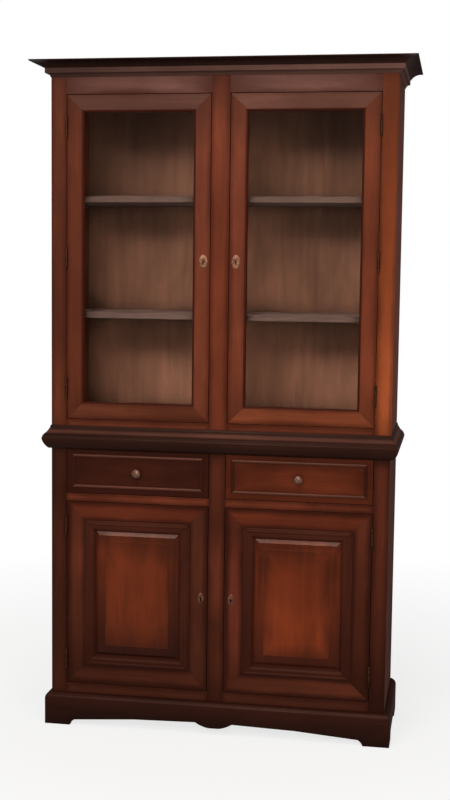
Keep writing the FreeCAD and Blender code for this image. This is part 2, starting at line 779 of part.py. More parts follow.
def raised_panel(x0, x1, z0, z1):
    """A fielded panel: thin tongue all round, short slope, nearly flat bevel and a small
    step to the field."""
    margin = groove_depth - panel_play + bolection_width - bolection_lap + panel_margin
    back = tongue_front + tongue_thickness
    slope_top = tongue_front - panel_slope_rise
    bevel_top = slope_top - panel_bevel_rise

    def ring(inset, depth):
        loop = [Vector(x0 + inset, y_face + depth, z0 + inset),
                Vector(x1 - inset, y_face + depth, z0 + inset),
                Vector(x1 - inset, y_face + depth, z1 - inset),
                Vector(x0 + inset, y_face + depth, z1 - inset)]
        return Part.makePolygon(loop + [loop[0]])

    bevel_inset = margin + panel_slope_width
    field_inset = bevel_inset + panel_bevel_width
    plate = board(x0, x1, tongue_front, back, z0, z1)
    slope = Part.makeLoft([ring(margin, tongue_front), ring(bevel_inset, slope_top)], True, True)
    bevel = Part.makeLoft([ring(bevel_inset, slope_top), ring(field_inset, bevel_top)],
                          True, True)
    field = board(x0 + field_inset, x1 - field_inset, bevel_top - panel_field_step,
                  tongue_front, z0 + field_inset, z1 - field_inset)
    return plate.fuse(slope).fuse(bevel).fuse(field).removeSplitter()


def make_panelled_door(name, side):
    """One base door; side is +1 for the right-hand door and -1 for the left."""
    z0, z1 = z_lower_door, z_lower_door_top
    left, right, bottom, top = mitred_ring(panelled_member_section, panelled_member_width,
                                           x_lower_free, x_hanging, z0, z1)
    free_stile = cut_all(left, lock_mortise(x_lower_free, 1, z_lower_lock))
    hanging_stile = cut_all(right, [leaf_mortise(x_hanging, -1, z) for z in z_lower_hinges])
    frame = [free_stile, hanging_stile, bottom, top]

    tongue_edge = panelled_member_width - groove_depth + panel_play
    panel = raised_panel(x_lower_free + tongue_edge, x_hanging - tongue_edge,
                         z0 + tongue_edge, z1 - tongue_edge)
    inset = panelled_member_width - bolection_lap
    moulding = mitred_ring(bolection_section, bolection_width, x_lower_free + inset,
                           x_hanging - inset, z0 + inset, z1 - inset)
    plate = escutcheon(x_lower_free + keyhole_backset, z_lower_lock, lower_escutcheon_width,
                       lower_escutcheon_height)
    save_door(name, side, frame, z_lower_hinges, x_lower_free, z_lower_lock, plate)
    save_sided(name + "_panel", side, [panel])
    save_sided(name + "_panel_moulding", side, moulding)


# ---------------------------------------------------------------- what both kinds of door share
def save_sided(node, side, solids):
    """Write right-hand solids as they are, or their mirror for the left."""
    save(node, *(solids if side > 0 else [mirrored(solid) for solid in solids]))


def save_door(name, side, frame, z_hinges, x_free, z_lock, plate):
    """Frame, moving hinge leaves, lock and bolt of one door."""
    x_axis = hinge_axis(x_hanging, 1)
    leaves = [hinge_leaf(x_axis, -1, z, knuckle_thirds(z)[1]) for z in z_hinges]
    save_sided(name + "_frame", side, frame)
    save_sided(name + "_hinge_leaves", side, leaves)
    save_sided(name + "_lock", side, [lock_case(x_free, 1, z_lock), plate])
    save_sided(name + "_lock_bolt", side, [lock_bolt(x_free, 1, z_lock)])


def make_case_hinge_leaves():
    """The fixed leaves on both stiles, each with its pin."""
    x_axis = hinge_axis(x_hanging, 1)
    right = []
    for z in z_upper_hinges + z_lower_hinges:
        right.append(hinge_leaf(x_axis, 1, z, knuckle_thirds(z)[0]))
        right.append(hinge_pin(x_axis, z))
    save("case_hinge_leaves", *(right + [mirrored(solid) for solid in right]))


# ---------------------------------------------------------------- drawers
x_drawer_inner = base_mullion_width / 2 + door_gap
x_drawer_outer = opening_outer - door_gap
z_drawer_box = z_drawer_opening + door_gap
z_drawer_front_top = z_drawer_opening_top - door_gap
z_drawer_side_top = z_drawer_front_top - drawer_side_drop


def dovetail_tails(x0, x1):
    """Tails of one drawer side: widest at their tips, inside the drawer front."""
    pitch = (z_drawer_side_top - z_drawer_box) / dovetail_count
    tip = dovetail_lap
    root = drawer_front_thickness
    tails = []
    for number in range(dovetail_count):
        z_middle = z_drawer_box + pitch * (number + 0.5)
        half_tip = pitch * dovetail_share / 2
        half_root = half_tip - dovetail_taper
        loop = [Vector(x0, y_face + root, z_middle - half_root),
                Vector(x0, y_face + tip, z_middle - half_tip),
                Vector(x0, y_face + tip, z_middle + half_tip),
                Vector(x0, y_face + root, z_middle + half_root)]
        tail = Part.Face(Part.makePolygon(loop + [loop[0]]))
        tails.append(tail.extrude(Vector(x1 - x0, 0, 0)))
    return tails


def cock_bead_section(place):
    """A rounded bead planted on the drawer front."""
    swell = (cock_bead_rise - cock_bead_edge) / cock_bead_width
    return outline_face(place, (0, 0), (0, -cock_bead_edge),
                        (cock_bead_width, -cock_bead_edge, swell), (cock_bead_width, 0))


def knob(x, z):
    """Turned knob: rose, neck, mushroom head, and a spigot through the drawer front."""
    shoulder = knob_projection - knob_dome_rise
    rim = knob_rim_rounding
    neck = knob_neck_radius

    def place(radius, out):
        return Vector(x + radius, y_face - out, z)

    face = outline_face(
        place, (0, -drawer_front_thickness), (knob_spigot_radius, -drawer_front_thickness),
        (knob_spigot_radius, 0), (knob_rose_radius, 0), (knob_rose_radius, knob_rose_thickness),
        (neck, knob_neck_out, -knob_neck_bow),
        (knob_radius - rim, shoulder - rim, -knob_neck_bow),
        (knob_radius, shoulder, bow_along(rim, rim)),
        (0, knob_projection, bow_along(knob_radius, knob_dome_rise)))
    return face.revolve(Vector(x, y_face, z), Vector(0, 1, 0), 360)


def make_drawer(name, side):
    """One drawer; side is +1 for the right-hand drawer and -1 for the left."""
    x0, x1 = x_drawer_inner, x_drawer_outer
    x_middle = (x0 + x1) / 2
    z_middle = (z_drawer_box + z_drawer_front_top) / 2
    back = drawer_length
    z_panel = z_drawer_box + drawer_bottom_raise
    z_panel_top = z_panel + drawer_bottom_thickness
    inner0 = x0 + drawer_side_thickness
    inner1 = x1 - drawer_side_thickness

    panel = board(inner0 - drawer_groove, inner1 + drawer_groove,
                  drawer_front_thickness - drawer_groove, back, z_panel, z_panel_top)
    tails0 = dovetail_tails(x0, inner0)
    tails1 = dovetail_tails(inner1, x1)
    spigot = Part.makeCylinder(knob_spigot_radius, drawer_front_thickness,
                               Vector(x_middle, y_face, z_middle), Vector(0, 1, 0))
    front = board(x0, x1, 0, drawer_front_thickness, z_drawer_box, z_drawer_front_top)
    front = cut_all(front, tails0 + tails1 + [panel, spigot])
    beads = mitred_ring(cock_bead_section, cock_bead_width,
                        x0 + cock_bead_inset, x1 - cock_bead_inset,
                        z_drawer_box + cock_bead_inset,
                        z_drawer_front_top - cock_bead_top_inset)

    sides = []
    for a, b, tails in ((x0, inner0, tails0), (inner1, x1, tails1)):
        cheek = board(a, b, drawer_front_thickness, back, z_drawer_box, z_drawer_side_top)
        for tail in tails:
            cheek = cheek.fuse(tail)
        sides.append(cheek.removeSplitter().cut(panel))
    rear = board(inner0, inner1, back - drawer_side_thickness, back, z_panel_top,
                 z_drawer_side_top)
    save_sided(name + "_front", side, [front] + beads)
    save_sided(name + "_box", side, sides + [rear, panel])
    save_sided(name + "_knob", side, [knob(x_middle, z_middle)])


# ---------------------------------------------------------------- build everything
make_hutch()
make_case_mouldings()
make_base()
make_case_hinge_leaves()
for hand, hand_side in (("left", -1), ("right", 1)):
    make_glazed_door(hand + "_glazed_door", hand_side)
    make_panelled_door(hand + "_panelled_door", hand_side)
    make_drawer(hand + "_drawer", hand_side)
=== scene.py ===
import json
import math

import bmesh
import bpy
import numpy as np
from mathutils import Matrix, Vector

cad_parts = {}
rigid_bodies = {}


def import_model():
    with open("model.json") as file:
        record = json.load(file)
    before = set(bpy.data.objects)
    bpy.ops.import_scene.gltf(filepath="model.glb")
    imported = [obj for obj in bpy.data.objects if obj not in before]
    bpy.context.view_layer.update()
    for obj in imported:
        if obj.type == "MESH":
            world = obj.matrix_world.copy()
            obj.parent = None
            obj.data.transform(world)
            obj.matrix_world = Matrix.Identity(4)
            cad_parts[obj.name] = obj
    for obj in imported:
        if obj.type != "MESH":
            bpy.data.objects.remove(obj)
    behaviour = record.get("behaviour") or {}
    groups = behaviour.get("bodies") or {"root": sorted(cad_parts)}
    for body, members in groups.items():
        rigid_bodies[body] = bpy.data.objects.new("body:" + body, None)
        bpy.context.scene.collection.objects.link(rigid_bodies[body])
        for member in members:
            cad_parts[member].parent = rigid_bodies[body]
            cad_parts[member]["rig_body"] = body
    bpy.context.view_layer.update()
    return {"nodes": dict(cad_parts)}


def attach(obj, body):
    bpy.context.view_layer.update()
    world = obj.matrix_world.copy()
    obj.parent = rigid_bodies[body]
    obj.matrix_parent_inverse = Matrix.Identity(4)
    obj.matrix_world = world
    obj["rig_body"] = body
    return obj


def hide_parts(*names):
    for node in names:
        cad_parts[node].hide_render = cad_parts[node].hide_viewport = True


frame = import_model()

# ------------------------------------------------------------------ base carcass
# The lower case: solid hardwood boards, glued and screwed, with a face frame planted on
# the front edges. Stained red-brown, darker glazing and painted shade in the corners, then
# lacquered.
MM = 0.001
case_width = 1050.0
case_depth = 360.0
cornice_projection = 55.0
case_half_width = case_width / 2
face = (cornice_projection - case_depth) / 2
case_back = face + case_depth
eased_edge = 0.6


def put(tree, kind, sockets=None, **settings):
    """One shader node with its settings. A socket takes a number, a colour or an output."""
    made = tree.nodes.new("ShaderNode" + kind)
    for name, value in settings.items():
        setattr(made, name, value)
    for name, value in (sockets or {}).items():
        if isinstance(value, bpy.types.NodeSocket):
            tree.links.new(value, made.inputs[name])
        else:
            made.inputs[name].default_value = value
    return made


def chip(red, green, blue):
    """Linear colour of a stain chip given in 8-bit steps, each step c carried to
    ((c / 255 + 0.055) / 1.055) ** 2.4."""
    steps = np.array([red, green, blue]) / 255
    return (*((steps + 0.055) / 1.055) ** 2.4, 1.0)


def material(name):
    """An empty material and its node tree."""
    made = bpy.data.materials.new(name)
    made.use_nodes = True
    made.node_tree.nodes.clear()
    return made, made.node_tree


def remap(tree, value, low, high, to_low, to_high):
    """The value carried from low..high to to_low..to_high, clamped at both ends."""
    return put(tree, "MapRange", {"Value": value, "From Min": low, "From Max": high,
                                  "To Min": to_low, "To Max": to_high}).outputs[0]


def from_noise(tree, noise, to_low, to_high):
    """The usual range of a noise, 0.3 to 0.7, carried to to_low..to_high."""
    return remap(tree, noise, 0.3, 0.7, to_low, to_high)


def reckon(tree, operation, one, other):
    """One number worked out from two."""
    return put(tree, "Math", {0: one, 1: other}, operation=operation).outputs[0]


def two_colours(tree, value, low, first, high, second):
    """The first colour up to the value low, the second from high on, blended between."""
    ramp = put(tree, "ValToRGB", {"Fac": value})
    for band, place, colour in zip(ramp.color_ramp.elements, (low, high), (first, second)):
        band.position = place
        band.color = colour
    return ramp.outputs[0]


def dirt_and_shade_in_corners(tree, distance, most):
    """The share of soiling and painted shade: most in an inner corner, none distance mm or
    more away from it.
    """
    corner = put(tree, "AmbientOcclusion", {"Distance": distance * MM}, samples=6)
    return remap(tree, corner.outputs["AO"], 0.3, 0.95, most, 0.0)


def up_the_board(tree, stops):
    """A factor that runs straight from stop to stop, each stop (height in mm, factor). The
    ramp holds factor / most, because its colours end at 1, and is multiplied by most."""
    low, high, most = stops[0][0], stops[-1][0], 1.6
    height = put(tree, "SeparateXYZ", {0: put(tree, "TexCoord").outputs["Object"]}).outputs[2]
    ramp = put(tree, "ValToRGB", {"Fac": remap(tree, height, low * MM, high * MM, 0.0, 1.0)})
    bands = ramp.color_ramp.elements
    for place, _ in stops[1:-1]:
        bands.new((place - low) / (high - low))
    for band, (_, factor) in zip(bands, stops):
        band.color = (factor / most, factor / most, factor / most, 1.0)
    return reckon(tree, "MULTIPLY", ramp.outputs[0], most)


def stained(name, stain, glaze=chip(34, 9, 3), polish=0.08, roughness=0.34, streak=0.15,
            mottle=0.18, pores=0.16, grime=14.0, edging=0.75, fade=(0.0, 16.0, 16.0),
            sheen=(1.0, 0.62, 0.46, 1.0), lighting_and_tone=()):
    """Stained and lacquered wood. The grain attribute holds the plank's own coordinates,
    length first. Colour = the stain, lighter and darker by streak in long streaks, times
    mottled wiping, times fine pores. The glaze colour lies over it, as glazing and
    painted shade, by the largest of three shares: the glaze attribute; how far the
    surface is within grime mm of an inner corner, for soiling and painted shade in
    the corners; and edging, for glazing and painted shade along the gaps, which
    is full up to fade[0] mm from the board's arrises and gone fade[1] mm farther in, or
    fade[2] mm farther up or down. Those distances are the smaller of from_low and from_high on
    the axes along the surface. Faces that look sideways are rubbed down less, so they stay
    matt. sheen is the colour of the lacquer's reflection. lighting_and_tone holds stops for
    up_the_board, which make an upright board lighter or darker at given heights: painted light
    and shade, along with the stain's own unevenness."""
    made, tree = material(name)
    plank = put(tree, "Attribute", attribute_name="grain").outputs["Vector"]

    def streaks(lengthwise, crosswise, detail, distortion):
        stretched = put(tree, "Mapping", {"Vector": plank,
                                          "Scale": (lengthwise, crosswise, crosswise)})
        return put(tree, "TexNoise", {"Vector": stretched.outputs[0], "Scale": 1.0,
                                      "Detail": detail, "Roughness": 0.6,
                                      "Distortion": distortion}).outputs[0]

    figure = streaks(2.0, 26.0, 4.0, 0.8)
    fibres = streaks(38.0, 760.0, 2.0, 0.0)
    wiping = streaks(3.0, 6.5, 3.0, 0.3)
    deep, pale = ((*np.array(stain[:3]) * share, 1.0) for share in (1 - streak, 1 + streak))
    streaked = two_colours(tree, figure, 0.33, deep, 0.67, pale)
    wiped = remap(tree, wiping, 0.34, 0.66, 1.0 - mottle, 1.0 + mottle)
    pored = remap(tree, fibres, 0.30, 0.52, 1.0 - pores, 1.0)
    shade = reckon(tree, "MULTIPLY", wiped, pored)
    # The stops paint light and shade up an upright board, along with the stain's own
    # unevenness.
    if lighting_and_tone:
        shade = reckon(tree, "MULTIPLY", shade, up_the_board(tree, lighting_and_tone))
    toned = put(tree, "VectorMath", {0: streaked, "Scale": shade}, operation="SCALE")

    # Soiling and painted shade in the inner corners.
    dirt_and_shade = dirt_and_shade_in_corners(tree, grime, 0.9)
    # Glazing and painted shade along the board's arrises, where it meets a gap.
    reach = put(tree, "VectorMath", {
        0: put(tree, "Attribute", attribute_name="from_low").outputs["Vector"],
        1: put(tree, "Attribute", attribute_name="from_high").outputs["Vector"]},
        operation="MINIMUM")
    looks = put(tree, "VectorMath", {0: put(tree, "TexCoord").outputs["Normal"]},
                operation="ABSOLUTE")
    across = put(tree, "VectorMath", {0: reach.outputs[0], 1: looks.outputs[0]},
                 operation="ADD")
    over = np.array([fade[1], fade[1], fade[2]])
    gone = put(tree, "VectorMath", {0: across.outputs[0], 1: tuple(1 / (over * MM)),
                                    2: tuple(-fade[0] / over)}, operation="MULTIPLY_ADD")
    aside = put(tree, "SeparateXYZ", {0: gone.outputs[0]}).outputs
    nearest = reckon(tree, "MINIMUM", reckon(tree, "MINIMUM", aside[0], aside[1]), aside[2])
    uneven = reckon(tree, "ADD", nearest, from_noise(tree, wiping, -0.3, 0.3))
    arris = remap(tree, uneven, 0.0, 1.0, edging, 0.0)
    # Glazing and painted shade given point by point in the glaze attribute.
    glaze_and_shade_share = put(tree, "Attribute", attribute_name="glaze").outputs["Fac"]
    covered = reckon(tree, "MAXIMUM", reckon(tree, "MAXIMUM", dirt_and_shade, arris), glaze_and_shade_share)
    glaze_and_shade_mix = put(tree, "MixRGB", {0: covered, 1: toned.outputs[0], 2: glaze})

    rubbed = from_noise(tree, wiping, roughness + 0.07, roughness - 0.05)
    sideways = put(tree, "SeparateXYZ", {0: looks.outputs[0]}).outputs[0]
    rough = reckon(tree, "MAXIMUM", rubbed, remap(tree, sideways, 0.5, 1.0, 0.0, 0.78))
    relief = put(tree, "Bump", {"Strength": 0.35, "Distance": 0.12 * MM, "Height": fibres})
    lacquer = put(tree, "BsdfPrincipled", {
        "Base Color": glaze_and_shade_mix.outputs[0], "Roughness": rough, "Normal": relief.outputs[0],
        "Specular IOR Level": polish, "Specular Tint": sheen})
    put(tree, "OutputMaterial", {"Surface": lacquer.outputs[0]})
    return made


def boards_of(node, along, board_at=None):
    """The closed boards of a node, as (points, faces, along). Equal points are merged inside
    one board only; board_at tells from points just under the surface, worked out as
    triangle centre - 0.05 mm * normal, which board a triangle belongs to. along gives the
    axis number of the grain, one for all the boards or one for each."""
    mesh = frame["nodes"][node].data
    points = np.empty(3 * len(mesh.vertices), np.float32)
    corners = np.empty(3 * len(mesh.polygons), np.int32)
    mesh.vertices.foreach_get("co", points)
    mesh.polygons.foreach_get("vertices", corners)
    triangles = points.reshape(-1, 3).astype(float)[corners].reshape(-1, 3, 3)
    normals = np.cross(triangles[:, 1] - triangles[:, 0], triangles[:, 2] - triangles[:, 0])
    normals /= np.maximum(np.linalg.norm(normals, axis=1, keepdims=True), 1e-12)
    just_under, same_point = 0.05 * MM, 0.002 * MM
    under = (triangles.mean(axis=1) - just_under * normals) / MM
    owner = np.zeros(len(triangles), int) if board_at is None else board_at(*under.T)
    boards = []
    for number in np.unique(owner):
        own = triangles[owner == number].reshape(-1, 3)
        _, first, merged = np.unique(np.round(own / same_point), axis=0, return_index=True,
                                     return_inverse=True)
        faces = merged.reshape(-1, 3)
        whole = ((faces[:, 0] != faces[:, 1]) & (faces[:, 1] != faces[:, 2])
                 & (faces[:, 2] != faces[:, 0]))
        boards.append((own[first], faces[whole].tolist(),
                       along if np.isscalar(along) else along[number]))
    return boards


def piece(name, parts, finish, *nodes, eased=eased_edge, crisp=12.0, glaze_and_shade_at=None):
    """One piece from closed parts (points, faces, along), standing for nodes. Each part's
    grain attribute is its points with axis along first, plus the part's own shift; from_low
    and from_high are the distances to its box, and glaze, the share of glazing and
    painted shade, is glaze_and_shade_at(x, y, z) in mm. Flat triangles are joined, arrises
    over 35 degrees are rounded by eased mm, and edges over crisp degrees stay sharp in the
    shading."""
    no_length, flat, arris_from = 1e-7, math.radians(0.3), math.radians(35)
    farthest_shift = 4.0
    mesh = bpy.data.meshes.new(name)
    starts = np.cumsum([0] + [len(points) for points, _, _ in parts])
    every = np.concatenate([points for points, _, _ in parts])
    mesh.from_pydata(
        every.tolist(), [],
        [[start + corner for corner in corners]
         for start, (_, faces, _) in zip(starts, parts) for corners in faces])
    shift = np.random.default_rng(sum(map(ord, name))).uniform(
        -farthest_shift, farthest_shift, (len(parts), 3))
    grain = [points[:, [along] + [axis for axis in range(3) if axis != along]] + own
             for own, (points, _, along) in zip(shift, parts)]
    for field, vectors in (
            ("grain", grain),
            ("from_low", [points - points.min(axis=0) for points, _, _ in parts]),
            ("from_high", [points.max(axis=0) - points for points, _, _ in parts])):
        mesh.attributes.new(field, "FLOAT_VECTOR", "POINT").data.foreach_set(
            "vector", np.concatenate(vectors).astype(np.float32).ravel())
    glaze_and_shade_share = np.zeros(len(every)) if glaze_and_shade_at is None else glaze_and_shade_at(*(every / MM).T)
    mesh.attributes.new("glaze", "FLOAT", "POINT").data.foreach_set(
        "value", glaze_and_shade_share.astype(np.float32))
    work = bmesh.new()
    work.from_mesh(mesh)
    doubled = [v for v in work.verts if not v.link_faces
               or min(e.calc_length() for e in v.link_edges) < no_length]
    bmesh.ops.remove_doubles(work, verts=doubled, dist=no_length)
    bmesh.ops.dissolve_limit(work, angle_limit=flat, verts=work.verts, edges=work.edges)
    bmesh.ops.recalc_face_normals(work, faces=work.faces)
    work.to_mesh(mesh)
    work.free()
    mesh.shade_smooth()
    mesh.set_sharp_from_angle(angle=math.radians(crisp))
    mesh.materials.append(finish)
    made = bpy.data.objects.new(name, mesh)
    bpy.context.scene.collection.objects.link(made)
    if eased:
        arris = made.modifiers.new("eased_arrises", "BEVEL")
        arris.width = eased * MM
        arris.segments = 2
        arris.limit_method = "ANGLE"
        arris.angle_limit = arris_from
        arris.harden_normals = True
    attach(made, frame["nodes"][nodes[0]]["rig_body"])
    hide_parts(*nodes)


def by_hand(x, y, z):
    """0 for a point of the left-hand board of a pair, 1 for the right-hand one."""
    return (x > 0).astype(int)


lower_wood = stained("lower_case_wood", chip(69, 30, 19))
# The left stile's darker stain is painted shade and the right stile's paler stops are painted
# light, as the light comes from the right. The stops also paint shade up each board, mostly
# darker towards the floor and just under the waist moulding, where its shadow falls.
shaded_wood = stained("lower_left_stile_wood", chip(54, 23, 13),
                      lighting_and_tone=((140, 1.1), (310, 0.82), (430, 1.0), (560, 1.4), (740, 0.8)))
lit_wood = stained("lower_right_stile_wood", chip(69, 30, 19),
                   lighting_and_tone=((140, 0.35), (280, 0.68), (400, 0.7), (490, 1.0), (760, 1.3),
                         (845, 1.2), (870, 0.5)))
mullion_wood = stained("lower_mullion_wood", chip(69, 30, 19),
                       lighting_and_tone=((140, 0.5), (230, 0.9), (345, 0.68), (430, 1.35), (550, 1.4),
                             (650, 0.72), (820, 1.1), (870, 0.8)))
drawer_rail_wood = stained("drawer_rail_wood", chip(98, 45, 29))
foot_rail_wood = stained("foot_rail_wood", chip(62, 28, 18))
matt_side = {"polish": 0.02, "roughness": 0.8}
lower_side_wood = stained("lower_side_wood", chip(64, 28, 18), **matt_side)
inner_glaze_and_shade = chip(24, 13, 9)
# Inside boards: the corner darkening reaches 30 mm, soiling and painted shade inside the case.
inner_wood = stained("inside_board_wood", chip(126, 82, 60), inner_glaze_and_shade, polish=0.04,
                     roughness=0.5, mottle=0.24, grime=30.0, edging=0.1)
plain_wood = stained("plain_secondary_wood", chip(170, 128, 86), glaze=chip(90, 60, 38),
                     roughness=0.62, streak=0.12, mottle=0.1, grime=10.0, edging=0.1)

left_stile, right_stile = boards_of("base_stiles", (2, 2), by_hand)
piece("base_left_stile_wood", [left_stile], shaded_wood, "base_stiles")
piece("base_right_stile_wood", [right_stile], lit_wood, "base_stiles")
for board in ("base_side_left", "base_side_right"):
    piece(board + "_wood", boards_of(board, 2), lower_side_wood, board, eased=0)
piece("base_mullion_wood", boards_of("base_mullion", 2), mullion_wood, "base_mullion")
piece("base_top_rail_wood", boards_of("base_top_rail", 0), lower_wood, "base_top_rail")
for board, finish in (("drawer_rails", drawer_rail_wood),
                      ("base_bottom_rails", foot_rail_wood)):
    piece(board + "_wood", boards_of(board, (0, 0), by_hand), finish, board)
for board, along in (("base_top", 0), ("base_bottom", 0), ("base_back", 2), ("base_shelf", 0)):
    piece(board + "_wood", boards_of(board, along), inner_wood, board)
for board, along in (("drawer_divider", 1), ("drawer_runners", 1), ("plinth_blocks", 2)):
    piece(board + "_wood", boards_of(board, along), plain_wood, board)


# ------------------------------------------------------------------ plinth
# Bracket-foot boards mitred round the base, their top edge rounded over, the lower edge
# sawn to a shallow arch with a pendant in the middle. Glued and screwed from behind.
plinth_height = 102.0
plinth_projection = 18.0
plinth_rounding = 20.0
plinth_fillet = 2.5
foot_width = 81.0
foot_curve = 15.0
foot_bow = 0.10
apron_edge_height = 18.0
apron_middle_height = 37.0
apron_bow = 0.011
side_apron_height = 26.0
pendant_half_width = 58.0
pendant_flat = 16.0
pendant_tip_height = 21.0
pendant_bow = 0.055


def outline(*corners):
    """A closed outline in metres from corners in mm, with the wood on the left of the way
    round. A corner (a, b) ends a line. A corner (a, b, bow) ends a circular arc that swells
    out by bow times its chord c: with h = 2 atan(2 bow), its point at share t lies
    c sin(h t) / sin(h) from its start, turned outwards from the chord by h (1 - t)."""
    spans = []
    for here, there in zip(corners, corners[1:] + corners[:1]):
        start, end = np.array(here[:2], float), np.array(there[:2], float)
        if len(there) == 2:
            spans.append([end])
            continue
        half_turn = 2 * math.atan(2 * there[2])
        steps = max(2, math.ceil(abs(half_turn) * 2 / math.radians(8)))
        share = np.arange(1, steps + 1)[:, None] / steps
        chord = end - start
        outwards = np.array([chord[1], -chord[0]])
        spans.append(start + np.sin(half_turn * share) / math.sin(half_turn) * (
            np.cos(half_turn * (1 - share)) * chord
            + np.sin(half_turn * (1 - share)) * outwards))
    return np.concatenate(spans) * MM


def bow_along(run, rise):
    """Bow of the arc that starts or ends along its run and climbs by its rise."""
    return math.tan(math.atan2(rise, run) / 2) / 2


def tube(rings, along):
    """A closed part from rings of points, rings[station, corner]: four-sided faces between
    neighbouring rings and one face over each end ring."""
    stations, around = rings.shape[:2]
    here = np.arange((stations - 1) * around).reshape(stations - 1, around)
    beside = np.roll(here, -1, axis=1)
    sides = np.stack([here, beside, beside + around, here + around], axis=-1)
    ends = [list(range(around)), list(range((stations - 1) * around, stations * around))]
    return rings.reshape(-1, 3), sides.reshape(-1, 4).tolist() + ends, along


def round_the_case(section, front_edge=None, side_edge=None):
    """Front length and two returns of a case moulding. The section's first number stands
    out from the case, its second is the height. Where a stretch has a shaped lower edge,
    given as stations and heights in metres, each ring lifts the corners below it."""
    out, up = section.T
    half, front, back = case_half_width * MM, face * MM, case_back * MM

    def stretch(first, last, edge):
        """Places along one stretch and heights of every ring's corners."""
        if edge is None:
            return np.stack([first, last]), np.stack([up, up])
        stations, heights = edge
        return (np.vstack([first, np.repeat(stations[:, None], len(out), 1), last]),
                np.vstack([up, np.maximum(up, heights[:, None]), up]))

    across, high = stretch(-half - out, half + out, front_edge)
    level = np.broadcast_to(front - out, across.shape)
    parts = [tube(np.stack([across, level, high], axis=-1), 0)]
    deep, high = stretch(front - out, np.full(len(out), back), side_edge)
    for side in (-1, 1):
        beside = np.broadcast_to(side * (half + out), deep.shape)
        parts.append(tube(np.stack([beside, deep, high], axis=-1), 1))
    return parts


def nail_round(names, nodes, parts, wood, stain, glaze, glaze_and_shade_at, **rest_of_finish):
    """The front length and the returns of a case moulding as two pieces of one stain, the
    returns matt like the sides of the case. rest_of_finish holds the rest of the front's
    finish."""
    finishes = (stained(wood + "_wood", stain, glaze, **rest_of_finish),
                stained(wood + "_side_wood", stain, glaze, **{**rest_of_finish, **matt_side}))
    for name, node, lengths, finish in zip(names, nodes, (parts[:1], parts[1:]), finishes):
        piece(name, lengths, finish, node, glaze_and_shade_at=glaze_and_shade_at)


plinth_section = outline(
    (0, plinth_height), (0, 0), (plinth_projection, 0),
    (plinth_projection, plinth_height - plinth_rounding),
    (plinth_fillet, plinth_height,
     bow_along(plinth_rounding, plinth_projection - plinth_fillet)))

# Half the arch, from a hair past the foot's inner edge to the flat end of the pendant, then
# the stations of the whole arch.
foot_inside = case_half_width + plinth_projection - foot_width
half_apron = outline((foot_inside, 0),
                     (foot_inside - foot_curve, apron_edge_height, foot_bow),
                     (pendant_half_width, apron_middle_height, apron_bow),
                     (pendant_flat, pendant_tip_height, -pendant_bow), (0, pendant_tip_height))
half_apron = np.vstack([half_apron[-1:] + [0.001 * MM, 0], half_apron[:-2]])
half_apron = half_apron[np.argsort(-half_apron[:, 0])]
apron_x = np.concatenate([-half_apron[:, 0], half_apron[::-1, 0]])
apron_z = np.concatenate([half_apron[:, 1], half_apron[::-1, 1]])

# The arch in each side, between the front foot and the back foot, measured from the face.
front_foot_end = foot_width - plinth_projection
back_foot_end = case_depth - foot_width
side_apron = outline((front_foot_end, 0),
                     (front_foot_end + foot_curve, side_apron_height, -foot_bow),
                     (back_foot_end - foot_curve, side_apron_height),
                     (back_foot_end, 0, -foot_bow))
side_apron = side_apron[np.argsort(side_apron[:, 0])]


def shade_along_plinth_foot(x, y, z):
    """Painted shade on the plinth: little on the rounded top edge, most along the lower edge.
    """
    return np.interp(z, [20, plinth_height - plinth_rounding], [0.85, 0.1])


plinth = round_the_case(plinth_section, (apron_x, apron_z),
                        (face * MM + side_apron[:, 0], side_apron[:, 1]))
nail_round(("plinth_front_board", "plinth_return_boards"), ("plinth_front", "plinth_returns"),
           plinth, "plinth", chip(46, 19, 13), chip(12, 4, 2), shade_along_plinth_foot, roughness=0.28,
           edging=0.5)


# ------------------------------------------------------------------ drawers
# Solid fronts with a rounded cock bead mitred on the face, dovetailed sides, a plain
# bottom let into grooves. The turned knob goes through the front and is riveted behind.
stile_width = 48.0
base_mullion_width = 50.0
base_rail_reveal = 31.0
lower_opening_height = 582.0
drawer_rail_height = 25.0
drawer_opening_height = 140.0
door_gap = 2.0
front_thickness = 20.0
drawer_side = 12.0
bottom_raise = 8.0
bottom_thickness = 6.0
bottom_groove = 5.0
bead_inset = 17.0
bead_top_inset = 14.0
bead_width = 9.0
bead_edge = 1.2
bead_bow = 0.311
knob_radius = 14.0
knob_projection = 25.0
knob_dome_rise = 8.0
knob_rim_rounding = 3.0
knob_neck_radius = 5.0
knob_neck_out = 7.0
knob_neck_bow = 0.2
knob_rose_radius = 10.0
knob_rose_thickness = 1.5
knob_spigot_radius = 4.0

lower_inner = base_mullion_width / 2 + door_gap
outer_edge = case_half_width - stile_width - door_gap
lower_opening_foot = plinth_height + base_rail_reveal
lower_opening_top = lower_opening_foot + lower_opening_height
drawer_foot = lower_opening_top + drawer_rail_height + door_gap
drawer_top = drawer_foot + drawer_opening_height - 2 * door_gap

# The left drawer's darker stain is painted shade and the right one's lighter stain painted
# light, as the light comes from the right.
drawer_woods = {hand: stained(hand + "_drawer_wood", stain, mottle=0.26, edging=0.45,
                              fade=(22.0, 44.0, 26.0))
                for hand, stain in (("left", chip(49, 18, 10)), ("right", chip(86, 36, 19)))}
# The level beads are stained lighter than the upright ones, a painted highlight where they face
# the light from above, and the upright beads darker, painted shade.
lit_level_bead_wood = stained("cock_bead_wood", chip(70, 34, 24), polish=0.24, grime=6.0, edging=0.0)
shaded_upright_bead_wood = stained("upright_cock_bead_wood", chip(50, 21, 14), polish=0.04,
                            grime=6.0, edging=0.0)


